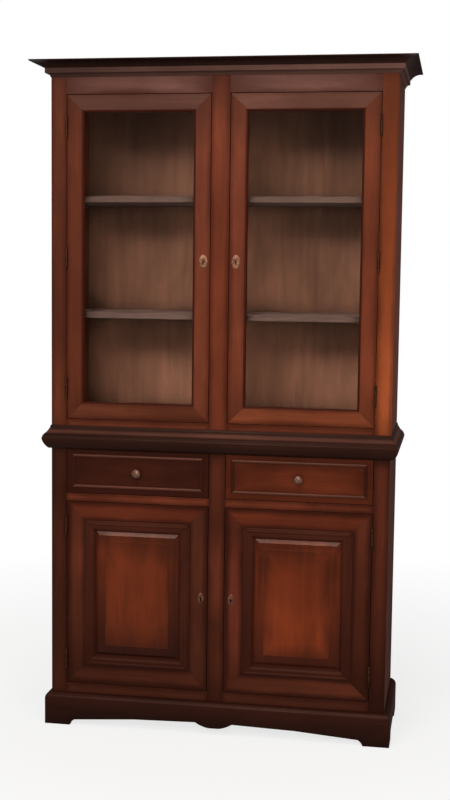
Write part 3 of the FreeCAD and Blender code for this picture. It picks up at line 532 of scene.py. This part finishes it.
def mitred_frame(section, x0, x1, z0, z1, side):
    """Four mitred lengths of one section inside a rectangle of the front view. The section's
    first number is measured inwards from the rectangle, its second back from the face; each
    corner of the section runs from one mitre to the next. side is -1 for the left half."""
    inward, deep = section.T
    left, right = x0 * MM + inward, x1 * MM - inward
    low, high = z0 * MM + inward, z1 * MM - inward
    y = face * MM + deep
    lengths = []
    for start, end, along in (((left, low), (left, high), 2),
                              ((right, low), (right, high), 2),
                              ((left, low), (right, low), 0),
                              ((left, high), (right, high), 0)):
        rings = np.stack([np.stack([side * x, y, z], axis=-1) for x, z in (start, end)])
        lengths.append(tube(rings, along))
    return lengths


def drawer_board(x, y, z):
    """0 and 1 are the sides, 2 the back, 3 the bottom let into their grooves."""
    x = np.abs(x)
    inner, outer = lower_inner + drawer_side, outer_edge - drawer_side
    low = drawer_foot + bottom_raise
    bottom = ((z > low) & (z < low + bottom_thickness)
              & (x > inner - bottom_groove) & (x < outer + bottom_groove))
    return np.where(bottom, 3, np.where(x < inner, 0, np.where(x > outer, 1, 2)))


def proud_of_face(x, y, z):
    """1 for a point of a bead or plate in front of the face, 0 for one behind the face."""
    return (y < face).astype(int)


def turned(profile, x, z, steps_round=48):
    """Rings of a turned piece on an axis that points out of the front: the point at angle a
    of a profile corner (radius, out) is (x + radius cos a, face - out, z + radius sin a)."""
    radius, out = profile.T
    angle = np.linspace(0, 2 * math.pi, steps_round, endpoint=False)[:, None]
    return np.stack([x * MM + radius * np.cos(angle),
                     np.broadcast_to(face * MM - out, (steps_round, len(out))),
                     z * MM + radius * np.sin(angle)], axis=-1)


def wheel(rings):
    """A closed part whose rings meet again: faces between neighbours both ways round."""
    stations, around = rings.shape[:2]
    here = np.arange(stations * around).reshape(stations, around)
    right, up = np.roll(here, -1, axis=1), np.roll(here, -1, axis=0)
    faces = np.stack([here, right, np.roll(right, -1, axis=0), up], axis=-1)
    return rings.reshape(-1, 3), faces.reshape(-1, 4).tolist(), 1


def aged_metal(name, bright, dull, roughness):
    """Old brass: polish left on the raised parts, brown tarnish in blotches and corners."""
    made, tree = material(name)
    place = put(tree, "TexCoord").outputs["Object"]
    blotch = put(tree, "TexNoise", {"Vector": place, "Scale": 160.0, "Detail": 4.0}).outputs[0]
    fine = put(tree, "TexNoise", {"Vector": place, "Scale": 1400.0, "Detail": 2.0}).outputs[0]
    metal = two_colours(tree, blotch, 0.36, dull, 0.62, bright)
    toned = put(tree, "MixRGB", {0: dirt_and_shade_in_corners(tree, 4, 0.85), 1: metal,
                                 2: chip(48, 32, 22)})
    relief = put(tree, "Bump", {"Strength": 0.3, "Distance": 0.05 * MM, "Height": fine})
    surface = put(tree, "BsdfPrincipled", {
        "Base Color": toned.outputs[0], "Metallic": 1.0, "Normal": relief.outputs[0],
        "Roughness": from_noise(tree, blotch, roughness + 0.12, roughness - 0.05)})
    put(tree, "OutputMaterial", {"Surface": surface.outputs[0]})
    return made


knob_brass = aged_metal("knob_brass", chip(124, 92, 78), chip(80, 56, 46), 0.5)
bead_section = outline((0, 0), (0, -bead_edge), (bead_width, -bead_edge, bead_bow),
                       (bead_width, 0))
dome_foot = knob_projection - knob_dome_rise
knob_profile = outline(
    (0, -front_thickness), (knob_spigot_radius, -front_thickness), (knob_spigot_radius, 0),
    (knob_rose_radius, 0), (knob_rose_radius, knob_rose_thickness),
    (knob_neck_radius, knob_neck_out, -knob_neck_bow),
    (knob_radius - knob_rim_rounding, dome_foot - knob_rim_rounding, -knob_neck_bow),
    (knob_radius, dome_foot, bow_along(knob_rim_rounding, knob_rim_rounding)),
    (0, knob_projection, bow_along(knob_radius, knob_dome_rise)))
knob_x = (lower_inner + outer_edge) / 2
knob_height = (drawer_foot + drawer_top) / 2

for hand, side in (("left", -1), ("right", 1)):
    drawer = hand + "_drawer"
    piece(drawer + "_front_wood", boards_of(drawer + "_front", (0, 1), proud_of_face)[:1],
          drawer_woods[hand], drawer + "_front")
    beads = mitred_frame(bead_section, lower_inner + bead_inset, outer_edge - bead_inset,
                         drawer_foot + bead_inset, drawer_top - bead_top_inset, side)
    piece(drawer + "_upright_beads", beads[:2], shaded_upright_bead_wood, drawer + "_front", eased=0.3)
    piece(drawer + "_level_beads", beads[2:], lit_level_bead_wood, drawer + "_front", eased=0.3)
    piece(drawer + "_box_wood", boards_of(drawer + "_box", (1, 1, 0, 0), drawer_board),
          plain_wood, drawer + "_box")
    piece(drawer + "_turned_knob", [wheel(turned(knob_profile, side * knob_x, knob_height))],
          knob_brass, drawer + "_knob", eased=0, crisp=30.0)


# ------------------------------------------------------------------ panelled doors
# Mitred frames with a raised panel held in a groove. A bolection moulding laps the inside
# edge of the frame and hides the joint. Mortise lock in the free stile, butt hinges.
lower_member_width = 62.0
tongue_front = 9.0
tongue_thickness = 6.0
tongue_reach = 8.0
panel_margin = 2.0
panel_slope_width = 11.0
panel_slope_rise = 4.5
panel_bevel_width = 19.0
panel_bevel_rise = 0.5
panel_field_step = 1.0
bolection_width = 34.0
bolection_lap = 5.0
lap_edge = 2.0
hollow_width = 5.0
shoulder = 5.0
crown_width = 9.0
crown_rise = 2.5
quirk_width = 3.0
bolection_fillet = 2.0
bolection_foot = 2.0
bolection_fit = 0.3
keyhole_backset = 20.0
keyhole_radius = 3.0
half_slot = 1.3
slot_length = 9.0
lower_lock_above_door_edge = 291.0
lower_plate_width = 18.0
lower_plate_height = 36.0

panelled_door = (lower_inner, outer_edge, lower_opening_foot + door_gap,
                 lower_opening_top - door_gap)
even_tone = ()
# Each member's stain and stops paint light and shade besides the wood's colour: the stops
# darken the stiles mostly towards the floor and lighten them where the light falls.
lower_stains = {
    "left": {
        "free_stile": (chip(67, 31, 20),
                       ((160, 0.65), (280, 0.88), (385, 0.76), (505, 1.05), (700, 0.95))),
        "hanging_stile": (chip(73, 33, 21),
                          ((190, 0.6), (345, 0.82), (545, 1.35), (680, 1.2))),
        "bottom_rail": (chip(66, 29, 18), even_tone),
        "top_rail": (chip(81, 34, 19), even_tone)},
    "right": {
        "free_stile": (chip(87, 38, 25),
                       ((185, 0.6), (280, 1.2), (550, 1.02), (645, 0.6), (710, 0.8))),
        "hanging_stile": (chip(67, 29, 18),
                          ((200, 0.4), (345, 0.8), (545, 1.02), (600, 1.35), (710, 1.45))),
        "bottom_rail": (chip(72, 33, 21), even_tone),
        "top_rail": (chip(84, 35, 20), even_tone)}}
# The right panel's lighter stain is painted light from the right, and the stops paint light and
# shade at given heights of each field.
panel_woods = {hand: stained(hand + "_panel_wood", stain, glaze=chip(24, 5, 1), polish=0.085,
                             roughness=0.15, mottle=0.22, grime=11.0, edging=0.55,
                             fade=fade, sheen=(1.0, 0.82, 0.72, 1.0), lighting_and_tone=lighting_and_tone)
               for hand, stain, fade, lighting_and_tone in (
                   ("left", chip(96, 39, 17), (61.0, 16.0, 93.0),
                    ((230, 0.72), (320, 0.8), (430, 0.95))),
                   ("right", chip(113, 46, 20), (68.0, 32.0, 38.0),
                    ((230, 1.0), (385, 1.06), (440, 0.94), (500, 0.85), (555, 0.65),
                     (590, 0.9))))}
moulding_wood = stained("panel_moulding_wood", chip(64, 28, 18), grime=11.0)
brass = aged_metal("aged_brass", chip(128, 90, 70), chip(80, 54, 40), 0.46)
plate_brass = aged_metal("lower_plate_brass", chip(104, 68, 52), chip(62, 38, 28), 0.5)
blackened_brass = aged_metal("blackened_brass", chip(66, 40, 27), chip(38, 22, 14), 0.5)

# From the lap on the frame over the hollow and the crown, down the slope to the panel.
crown_end = hollow_width + crown_width
slope_start = crown_end + quirk_width
slope_end = bolection_width - bolection_fillet
foot_top = tongue_front - bolection_foot
slope_foot = foot_top - bolection_fillet
bolection = outline(
    (0, 0), (0, -lap_edge),
    (hollow_width, -shoulder, -bow_along(hollow_width, shoulder - lap_edge)),
    (crown_end, -shoulder, crown_rise / crown_width), (slope_start, -shoulder),
    (slope_end, slope_foot, bow_along(slope_end - slope_start, slope_foot + shoulder)),
    (bolection_width, foot_top), (bolection_width, tongue_front - bolection_fit),
    (bolection_lap, tongue_front - bolection_fit), (bolection_lap, 0))


def drawn_in(rectangle, margin):
    """A rectangle (x0, x1, z0, z1) of the front view made smaller by a margin all round."""
    x0, x1, z0, z1 = rectangle
    return x0 + margin, x1 - margin, z0 + margin, z1 - margin


def frame_member(rectangle):
    """Which mitred member a point of a door frame is in: the one whose outer edge is
    nearest, as free stile 0, hanging stile 1, bottom rail 2, top rail 3."""
    x0, x1, z0, z1 = rectangle

    def member(x, y, z):
        x = np.abs(x)
        return np.argmin(np.stack([x - x0, x1 - x, z - z0, z1 - z]), axis=0)
    return member


panel_edge = drawn_in(panelled_door, lower_member_width - tongue_reach)
moulding_edge = drawn_in(panelled_door, lower_member_width - bolection_lap)
slope_inset = tongue_reach + bolection_width - bolection_lap + panel_margin
bevel_inset = slope_inset + panel_slope_width
field_inset = bevel_inset + panel_bevel_width
slope_depth = tongue_front - panel_slope_rise
bevel_depth = slope_depth - panel_bevel_rise
field_depth = bevel_depth - panel_field_step


def fielded_panel(side):
    """A raised panel from rectangles drawn in by (inset, depth) steps: tongue edge, flat
    margin, short slope, nearly flat bevel, small step, flat field, joined corner to
    corner."""
    steps = np.array([(0, tongue_front + tongue_thickness), (0, tongue_front),
                      (slope_inset, tongue_front), (bevel_inset, slope_depth),
                      (field_inset, bevel_depth), (field_inset, field_depth)])
    inset, deep = steps.T
    x0, x1, z0, z1 = drawn_in(panel_edge, inset)
    rings = np.stack([np.stack([side * x, face + deep, z], axis=-1)
                      for x, z in ((x0, z0), (x1, z0), (x1, z1), (x0, z1))], axis=1)
    return [tube(rings * MM, 2)]


def keyhole_plate(x, z, width, height, side):
    """A domed oval plate round a keyhole. On a ray at angle a off straight down, the hole
    ends at its radius, or at the slot's side half_slot / sin a, or at its foot
    slot_length / cos a; the rim at the ellipse. Rings go from hole to rim by their share of
    the way, and out is how far each stands off the face, 1.6 mm at most."""
    angle_fit = 1e-9
    foot_angle = math.atan2(half_slot, slot_length)
    neck_angle = math.asin(half_slot / keyhole_radius)
    angle = np.unique(np.concatenate([np.linspace(-math.pi, math.pi, 73)[:-1],
                                      [-neck_angle, -foot_angle, foot_angle, neck_angle]]))
    off = np.abs(angle)
    hole = np.where(off <= foot_angle + angle_fit, slot_length / np.cos(off), np.where(
        off <= neck_angle + angle_fit, half_slot / np.maximum(np.sin(off), 1e-6),
        keyhole_radius))
    rim = 1 / np.hypot(np.sin(angle) / (width / 2), np.cos(angle) / (height / 2))
    share = np.array([0, 0, 0.06, 0.2, 0.45, 0.7, 0.88, 0.97, 1.0, 1.0])
    out = np.array([0, 1.3, 1.5, 1.6, 1.5, 1.25, 0.95, 0.7, 0.4, 0.0])
    radius = hole[:, None] + (rim - hole)[:, None] * share
    rings = np.stack([side * x + radius * np.sin(angle)[:, None],
                      np.broadcast_to(face - out, radius.shape),
                      z - radius * np.cos(angle)[:, None]], axis=-1)
    return [wheel(rings * MM)]


def shade_on_lower_bevel(x, y, z):
    """Painted shade on a panel's bevel and slope, darkest at its lower end, which faces down,
    and gone at its upper end; none on the field, which lies between the bevel and the frame's
    face."""
    on_bevel = y > face + (bevel_depth + field_depth) / 2
    return np.where(on_bevel, np.interp(z, panel_edge[2:], [0.9, 0.0]), 0.0)


def shade_on_bolection_foot(x, y, z):
    """Painted shade on the bolection moulding's lower member, fading up the sides."""
    lower_member_top = moulding_edge[2] + bolection_width
    return np.where(z < lower_member_top + 1, 0.6, 0.0)


def hang(door, rectangle, stains, rest_of_finish, lock_height, plate_width, plate_height, plate_metal,
         side, glaze_and_shade_at=None):
    """Frame, lock box and keyhole plate of one door, and brass for its hinges and bolt. The
    stains are given for each member with its lighting_and_tone stops, in the order of
    frame_member; rest_of_finish holds the rest of their finish."""
    boards = boards_of(door + "_frame", (2, 2, 0, 0), frame_member(rectangle))
    for board, (member, (stain, lighting_and_tone)) in zip(boards, stains.items()):
        name = f"{door}_{member}_wood"
        piece(name, [board], stained(name, stain, lighting_and_tone=lighting_and_tone, **rest_of_finish), door + "_frame",
              eased=0.5, crisp=25.0, glaze_and_shade_at=glaze_and_shade_at)
    lock = door + "_lock"
    piece(lock + "_box", boards_of(lock, (0, 1), proud_of_face)[:1], brass, lock, eased=0)
    piece(door + "_keyhole_plate",
          keyhole_plate(rectangle[0] + keyhole_backset, lock_height, plate_width,
                        plate_height, side), plate_metal, lock, eased=0, crisp=30.0)
    frame["nodes"][door + "_hinge_leaves"].material_slots[0].material = blackened_brass
    frame["nodes"][lock + "_bolt"].material_slots[0].material = brass


for hand, side in (("left", -1), ("right", 1)):
    door = hand + "_panelled_door"
    hang(door, panelled_door, lower_stains[hand],
         {"edging": 0.85, "fade": (5.0, 16.0, 16.0)},
         panelled_door[2] + lower_lock_above_door_edge, lower_plate_width,
         lower_plate_height, plate_brass, side)
    piece(door + "_raised_panel", fielded_panel(side), panel_woods[hand], door + "_panel",
          eased=0.5, crisp=4.0, glaze_and_shade_at=shade_on_lower_bevel)
    piece(door + "_bolection_moulding", mitred_frame(bolection, *moulding_edge, side),
          moulding_wood, door + "_panel_moulding", eased=0.4, glaze_and_shade_at=shade_on_bolection_foot)


# ------------------------------------------------------------------ waist moulding
# A deep moulding nailed round the joint between the base and the hutch: swelling underside,
# rounded nose, a small facet facing up and a hollow top edge. Stained nearly black, with a
# painted highlight along the facet.
waist_height = 72.0
waist_projection = 25.5
waist_foot_projection = 8.0
waist_lip = 2.5
waist_hollow_height = 17.0
waist_hollow_bow = 0.06
waist_facet_rise = 5.0
waist_facet_run = 4.0
waist_facet_projection = 14.0
waist_nose_height = 19.0
waist_nose_bow = 0.12
waist_swell_bow = 0.09

waist_foot = drawer_top + door_gap
waist_top = waist_foot + waist_height
facet_top = waist_top - waist_hollow_height
facet_foot = facet_top - waist_facet_rise
waist_section = outline(
    (0, waist_top), (0, waist_foot), (waist_foot_projection, waist_foot),
    (waist_projection, facet_foot - waist_nose_height, waist_swell_bow),
    (waist_facet_projection, facet_foot, waist_nose_bow),
    (waist_facet_projection - waist_facet_run, facet_top),
    (waist_lip, waist_top, -waist_hollow_bow))


def waist_highlight_and_shade(x, y, z):
    """Darkening over the waist's light stain: almost none on the facet, left light as a painted
    highlight; thick below it and along the top edge, the near-black stain with painted shade
    under the moulding and in the joint at the top.
    """
    return np.interp(z - waist_foot, [0, 25, 47, 50.5, 55, 58, 66, waist_height],
                     [0.95, 0.82, 0.88, 0.1, 0.1, 0.6, 1.0, 0.8])


nail_round(("waist_front_length", "waist_return_lengths"), ("waist_moulding",) * 2,
           round_the_case(waist_section), "waist", chip(84, 50, 41), chip(22, 6, 2),
           waist_highlight_and_shade, polish=0.05, roughness=0.28, grime=10.0, edging=0.0)


# ------------------------------------------------------------------ hutch carcass
# The upper case stands on the base: sides, top, bottom and back boards behind a face frame.
# The same stain as below, lighter and redder in the upper half: wiped back further, and
# painted light from above as well.
waist_above_joint = 40.0
hutch_rail_height = 60.0
upper_opening_height = 990.0
frieze_height = 78.0

hutch_foot = waist_top - waist_above_joint
upper_opening_foot = hutch_foot + hutch_rail_height
upper_opening_top = upper_opening_foot + upper_opening_height
hutch_frame_top = upper_opening_top + frieze_height

upper_glaze_and_shade = chip(50, 14, 5)
upper_wood = stained("upper_case_wood", chip(86, 41, 26), upper_glaze_and_shade)
# The left stile's stops darken it as painted shade, and the right stile's much lighter stain is
# painted light, as the light comes from the right; the stops paint light and shade up each
# board, the mullion's too.
upper_left_shaded_wood = stained("upper_left_stile_wood", chip(86, 41, 26), upper_glaze_and_shade,
                      lighting_and_tone=((960, 0.8), (1110, 1.35), (1220, 0.75), (1480, 0.75), (1660, 0.55),
                            (1880, 0.85), (2000, 0.6)))
middle_wood = stained("upper_mullion_wood", chip(100, 46, 29), upper_glaze_and_shade,
                      lighting_and_tone=((950, 0.7), (1180, 0.85), (1410, 1.0), (1590, 0.7), (1820, 1.05),
                            (1990, 0.6)))
upper_right_lit_wood = stained("upper_right_stile_wood", chip(134, 66, 36), upper_glaze_and_shade,
                    lighting_and_tone=((950, 0.8), (1010, 1.2), (1410, 0.85), (1500, 1.05), (1730, 1.08),
                          (1960, 0.8)))
# The frieze is stained greyer and lighter than the stiles, a painted reflection of the light
# above, and darkened over 130 mm from each end, which leaves a painted highlight in its middle.
frieze_wood = stained("frieze_wood", chip(90, 58, 52), upper_glaze_and_shade, grime=8.0,
                      fade=(0.0, 130.0, 16.0))
upper_side_wood = stained("upper_side_wood", chip(84, 41, 28), upper_glaze_and_shade, **matt_side)


def painted_shade_upwards(x, y, z):
    """Painted shade on tall boards of the hutch: none at the foot, thick at the top, in the
    shade of the frieze and cornice.
    """
    return np.interp(z, [hutch_foot, hutch_frame_top], [0.0, 0.75])


left_stile, right_stile = boards_of("hutch_stiles", (2, 2), by_hand)
piece("hutch_left_stile_wood", [left_stile], upper_left_shaded_wood, "hutch_stiles")
piece("hutch_right_stile_wood", [right_stile], upper_right_lit_wood, "hutch_stiles",
      glaze_and_shade_at=painted_shade_upwards)
piece("hutch_mullion_wood", boards_of("hutch_mullion", 2), middle_wood, "hutch_mullion")
for board, finish in (("hutch_frieze_rails", frieze_wood), ("hutch_bottom_rails", upper_wood)):
    piece(board + "_wood", boards_of(board, (0, 0), by_hand), finish, board)
for board in ("hutch_side_left", "hutch_side_right"):
    piece(board + "_wood", boards_of(board, 2), upper_side_wood, board)
# The back: the corner darkening reaches 90 mm, painting the shade under each shelf; the shelves
# take 30 mm of it, and painted_shade_upwards paints shade towards the top of the back.
back_wood = stained("hutch_back_wood", chip(140, 96, 76), inner_glaze_and_shade, polish=0.04,
                    roughness=0.5, mottle=0.24, grime=90.0, edging=0.0)
shelf_wood = stained("shelf_wood", chip(97, 75, 68), inner_glaze_and_shade, polish=0.04,
                     roughness=0.5, grime=30.0, edging=0.2)
piece("hutch_back_boards", boards_of("hutch_back", 2), back_wood, "hutch_back",
      glaze_and_shade_at=painted_shade_upwards)
for board, finish in (("hutch_top", inner_wood), ("hutch_bottom", inner_wood),
                      ("hutch_shelves", shelf_wood)):
    piece(board + "_wood", boards_of(board, 0), finish, board)
frame["nodes"]["shelf_pins"].material_slots[0].material = brass
frame["nodes"]["case_hinge_leaves"].material_slots[0].material = blackened_brass


# ------------------------------------------------------------------ glazed doors
# Mitred frames with a sunk ovolo on the inside edge. The pane lies in a rebate behind it,
# held by small splayed beads pinned from the back. Slightly uneven drawn glass.
hutch_mullion_width = 56.0
glazed_member_width = 53.0
glass_rebate_width = 10.0
ovolo_front = 1.0
ovolo_back = 11.0
upper_lock_above_door_edge = 488.0
upper_plate_width = 26.0
upper_plate_height = 42.0

glazed_door = (hutch_mullion_width / 2 + door_gap, outer_edge, upper_opening_foot + door_gap,
               upper_opening_top - door_gap)


def drawn_glass(name):
    """Clear glass that lets lamp light through, so that the shelves are lit."""
    made, tree = material(name)
    place = put(tree, "TexCoord").outputs["Object"]
    waves = put(tree, "TexNoise", {"Vector": place, "Scale": 9.0, "Detail": 1.0}).outputs[0]
    relief = put(tree, "Bump", {"Strength": 0.25, "Distance": 1.5 * MM, "Height": waves})
    pane = put(tree, "BsdfPrincipled", {
        "Base Color": (0.97, 0.985, 0.975, 1), "Roughness": 0.1, "IOR": 1.06,
        "Transmission Weight": 1.0, "Normal": relief.outputs[0]})
    clear = put(tree, "BsdfTransparent", {"Color": (0.95, 0.965, 0.955, 1)})
    lamp = put(tree, "LightPath").outputs["Is Shadow Ray"]
    blend = put(tree, "MixShader", {0: lamp, 1: pane.outputs[0], 2: clear.outputs[0]})
    put(tree, "OutputMaterial", {"Surface": blend.outputs[0]})
    return made


def glaze_and_shade_in_ovolo(x, y, z):
    """Glazing and painted shade in the sunk ovolo behind the frame's face, and a little
    darkening towards the frame's upper end."""
    sunk = (y > face + ovolo_front) & (y < face + ovolo_back)
    return np.where(sunk, 0.95, np.interp(z, glazed_door[2:], [0.0, 0.15]))


glass = drawn_glass("clear_drawn_glass")
# The top rails are stained greyer than the rest of each frame, a painted reflection of the
# light above; the stops paint light and shade up each stile, darker at both ends.
upper_stains = {
    "left": {
        "free_stile": (chip(98, 48, 32), ((1000, 0.9), (1100, 1.15), (1230, 1.0), (1790, 1.0),
                                          (1900, 0.5))),
        "hanging_stile": (chip(85, 40, 25), ((1000, 0.7), (1090, 1.0), (1280, 0.8),
                                             (1460, 1.0), (1760, 1.1), (1920, 0.7))),
        "bottom_rail": (chip(86, 43, 28), even_tone),
        "top_rail": (chip(74, 45, 38), even_tone)},
    "right": {
        "free_stile": (chip(101, 49, 33), ((1000, 0.65), (1120, 0.95), (1390, 1.2),
                                           (1640, 0.93), (1790, 1.2), (1880, 0.7))),
        "hanging_stile": (chip(100, 48, 30), ((1000, 0.75), (1110, 1.1), (1500, 0.97),
                                              (1640, 0.82), (1790, 1.1), (1910, 0.7))),
        "bottom_rail": (chip(112, 56, 34), even_tone),
        "top_rail": (chip(88, 55, 46), even_tone)}}
glazing_bead_wood = stained("glazing_bead_wood", chip(88, 44, 31), upper_glaze_and_shade)
glazing_bead_edge = drawn_in(glazed_door, glazed_member_width - glass_rebate_width)
for hand, side in (("left", -1), ("right", 1)):
    door = hand + "_glazed_door"
    hang(door, glazed_door, upper_stains[hand], {"glaze": upper_glaze_and_shade, "edging": 0.65},
         glazed_door[2] + upper_lock_above_door_edge, upper_plate_width, upper_plate_height,
         brass, side, glaze_and_shade_at=glaze_and_shade_in_ovolo)
    piece(door + "_glazing_bead_wood",
          boards_of(door + "_glazing_beads", (2, 2, 0, 0), frame_member(glazing_bead_edge)),
          glazing_bead_wood, door + "_glazing_beads", eased=0.3)
    frame["nodes"][door + "_glass"].material_slots[0].material = glass


# ------------------------------------------------------------------ cornice
# Three mitred lengths nailed round the top: small cavetto, upright fascia, a wide cove and
# a thin lip. The fascia is wiped back to the frieze's colour, lighter and greyer in part as a
# painted reflection; the rest is nearly black, with painted shade on the cove and lip.
hutch_top_thickness = 20.0
cornice_height = 47.0
cornice_lip = 4.0
cornice_quirk = 7.0
cornice_fillet = 2.0
cornice_fascia_projection = 16.0
cornice_fascia_height = 15.0
cornice_cavetto_height = 11.0

cornice_top = hutch_frame_top + hutch_top_thickness
cornice_foot = cornice_top - cornice_height
fascia_foot = cornice_foot + cornice_cavetto_height
fascia_top = fascia_foot + cornice_fascia_height
lip_foot = cornice_top - cornice_lip
cavetto_end = cornice_fascia_projection - cornice_fillet
cove_start = cornice_fascia_projection + cornice_fillet
cove_end = cornice_projection - cornice_quirk
cornice_section = outline(
    (0, cornice_top), (0, cornice_foot), (cornice_fillet, cornice_foot),
    (cavetto_end, fascia_foot,
     -bow_along(cavetto_end - cornice_fillet, cornice_cavetto_height)),
    (cornice_fascia_projection, fascia_foot), (cornice_fascia_projection, fascia_top),
    (cove_start, fascia_top),
    (cove_end, lip_foot, -bow_along(cove_end - cove_start, lip_foot - fascia_top)),
    (cornice_projection, lip_foot), (cornice_projection, cornice_top))


def glaze_and_shade_off_fascia(x, y, z):
    """Darkening on the cornice, glazing and painted shade: thin on the fascia, thicker in the
    cavetto, full above on the cove and lip, which face down, and all of it thinner from the
    left end to the right, as painted light from the right."""
    out = np.maximum(face - y, np.abs(x) - case_half_width)
    above = (z > fascia_top + 0.5) | (out > cornice_fascia_projection + 1)
    fascia = out > cornice_fascia_projection - 1
    at_left = np.where(above, 1.0, np.where(fascia, 0.6, 0.75))
    at_right = np.where(above, 0.93, np.where(fascia, 0.0, 0.5))
    end = case_half_width + cornice_projection
    return at_left + (at_right - at_left) * np.interp(x, [-end, end], [0.0, 1.0])


nail_round(("cornice_front_length", "cornice_return_lengths"), ("cornice_moulding",) * 2,
           round_the_case(cornice_section), "cornice", chip(102, 72, 65), chip(26, 12, 8),
           glaze_and_shade_off_fascia, polish=0.05, roughness=0.5, grime=8.0, edging=0.0)


# ------------------------------------------------------------------ studio
# A pale floor that keeps the shadow near the cabinet and fades to the white surround, a long
# softbox overhead, one high behind the camera, a warm one on the right, a weak one on the left.
floor_reach = 40.0
shadow_reach = 0.6
white_from = 2.6
shadow_share = 0.76
floor_mesh = bpy.data.meshes.new("studio_floor")
floor_mesh.from_pydata([(-floor_reach, -floor_reach, 0), (floor_reach, -floor_reach, 0),
                        (floor_reach, floor_reach, 0), (-floor_reach, floor_reach, 0)],
                       [], [(0, 1, 2, 3)])
floor = bpy.data.objects.new("studio_floor", floor_mesh)
bpy.context.scene.collection.objects.link(floor)


def eye_or_mirror(tree):
    """1 for rays from the camera, a reflection or through glass, and 0 for light."""
    path = put(tree, "LightPath").outputs
    seen = reckon(tree, "MAXIMUM", path["Is Camera Ray"], path["Is Glossy Ray"])
    return reckon(tree, "MAXIMUM", seen, path["Is Transmission Ray"])


pale_paint, tree = material("pale_floor_paint")
matt = put(tree, "BsdfDiffuse", {"Color": (0.84, 0.84, 0.84, 1)})
glow = put(tree, "Emission", {"Color": (1, 1, 1, 1), "Strength": 1.0})
away = put(tree, "VectorMath", {0: put(tree, "TexCoord").outputs["Object"]},
           operation="LENGTH").outputs["Value"]
whiter = remap(tree, away, shadow_reach, white_from, shadow_share, 1.0)
share = reckon(tree, "MULTIPLY", eye_or_mirror(tree), whiter)
blend = put(tree, "MixShader", {0: share, 1: matt.outputs[0], 2: glow.outputs[0]})
put(tree, "OutputMaterial", {"Surface": blend.outputs[0]})
floor_mesh.materials.append(pale_paint)

surround = bpy.data.worlds.new("white_surround")
surround.use_nodes = True
tree = surround.node_tree
tree.nodes.clear()
lighting = put(tree, "Background", {"Color": (1.0, 0.97, 0.94, 1), "Strength": 0.32})
backdrop = put(tree, "Background", {"Color": (1, 1, 1, 1), "Strength": 1.0})
blend = put(tree, "MixShader", {0: eye_or_mirror(tree), 1: lighting.outputs[0],
                                2: backdrop.outputs[0]})
put(tree, "OutputWorld", {"Surface": blend.outputs[0]})
bpy.context.scene.world = surround


def softbox(name, place, aim, width, height, radiance, colour=(1.0, 0.97, 0.93)):
    """An area lamp of a given radiance: its power is radiance * pi * width * height."""
    lamp = bpy.data.lights.new(name, "AREA")
    lamp.shape = "RECTANGLE"
    lamp.size, lamp.size_y = width, height
    lamp.energy = radiance * math.pi * width * height
    lamp.color = colour
    box = bpy.data.objects.new(name, lamp)
    bpy.context.scene.collection.objects.link(box)
    box.location = place
    box.rotation_mode = "QUATERNION"
    box.rotation_quaternion = (Vector(aim) - Vector(place)).to_track_quat("-Z", "Y")


softbox("overhead_softbox", (0.2, -2.4, 4.4), (0, 0.1, 1.0), 2.6, 0.8, 10.0)
softbox("high_front_softbox", (-0.7, -4.6, 3.2), (0, 0, 1.2), 2.4, 0.8, 16.0)
softbox("left_softbox", (-2.3, -3.6, 1.6), (0, 0, 1.0), 1.2, 1.6, 1.6)
softbox("right_softbox", (2.6, -3.2, 1.7), (0, 0, 1.0), 1.2, 1.8, 5.0, (1.0, 0.9, 0.78))


# ------------------------------------------------------------------ camera
# Eye height of a standing person, a little to the right of the cabinet's middle, turned
# left and slightly down, with a long lens.
eye = (0.7238, -4.127, 1.4521)
long_lens = 60.13
turned_left = math.radians(10.015)
tipped_down = math.radians(5.759)
rolled = math.radians(0.687)

ahead = np.array([-math.sin(turned_left) * math.cos(tipped_down),
                  math.cos(turned_left) * math.cos(tipped_down), -math.sin(tipped_down)])
level = np.array([math.cos(turned_left), math.sin(turned_left), 0.0])
upright = np.cross(level, ahead)
placing = np.eye(4)
placing[:3, 0] = math.cos(rolled) * level + math.sin(rolled) * upright
placing[:3, 1] = math.cos(rolled) * upright - math.sin(rolled) * level
placing[:3, 2] = -ahead
placing[:3, 3] = eye
camera = bpy.data.objects.new("camera", bpy.data.cameras.new("camera"))
bpy.context.scene.collection.objects.link(camera)
camera.matrix_world = Matrix(placing.tolist())
camera.data.lens = long_lens
camera.data.sensor_width = 36.0
bpy.context.scene.camera = camera
bpy.context.scene.view_settings.view_transform = "Standard"
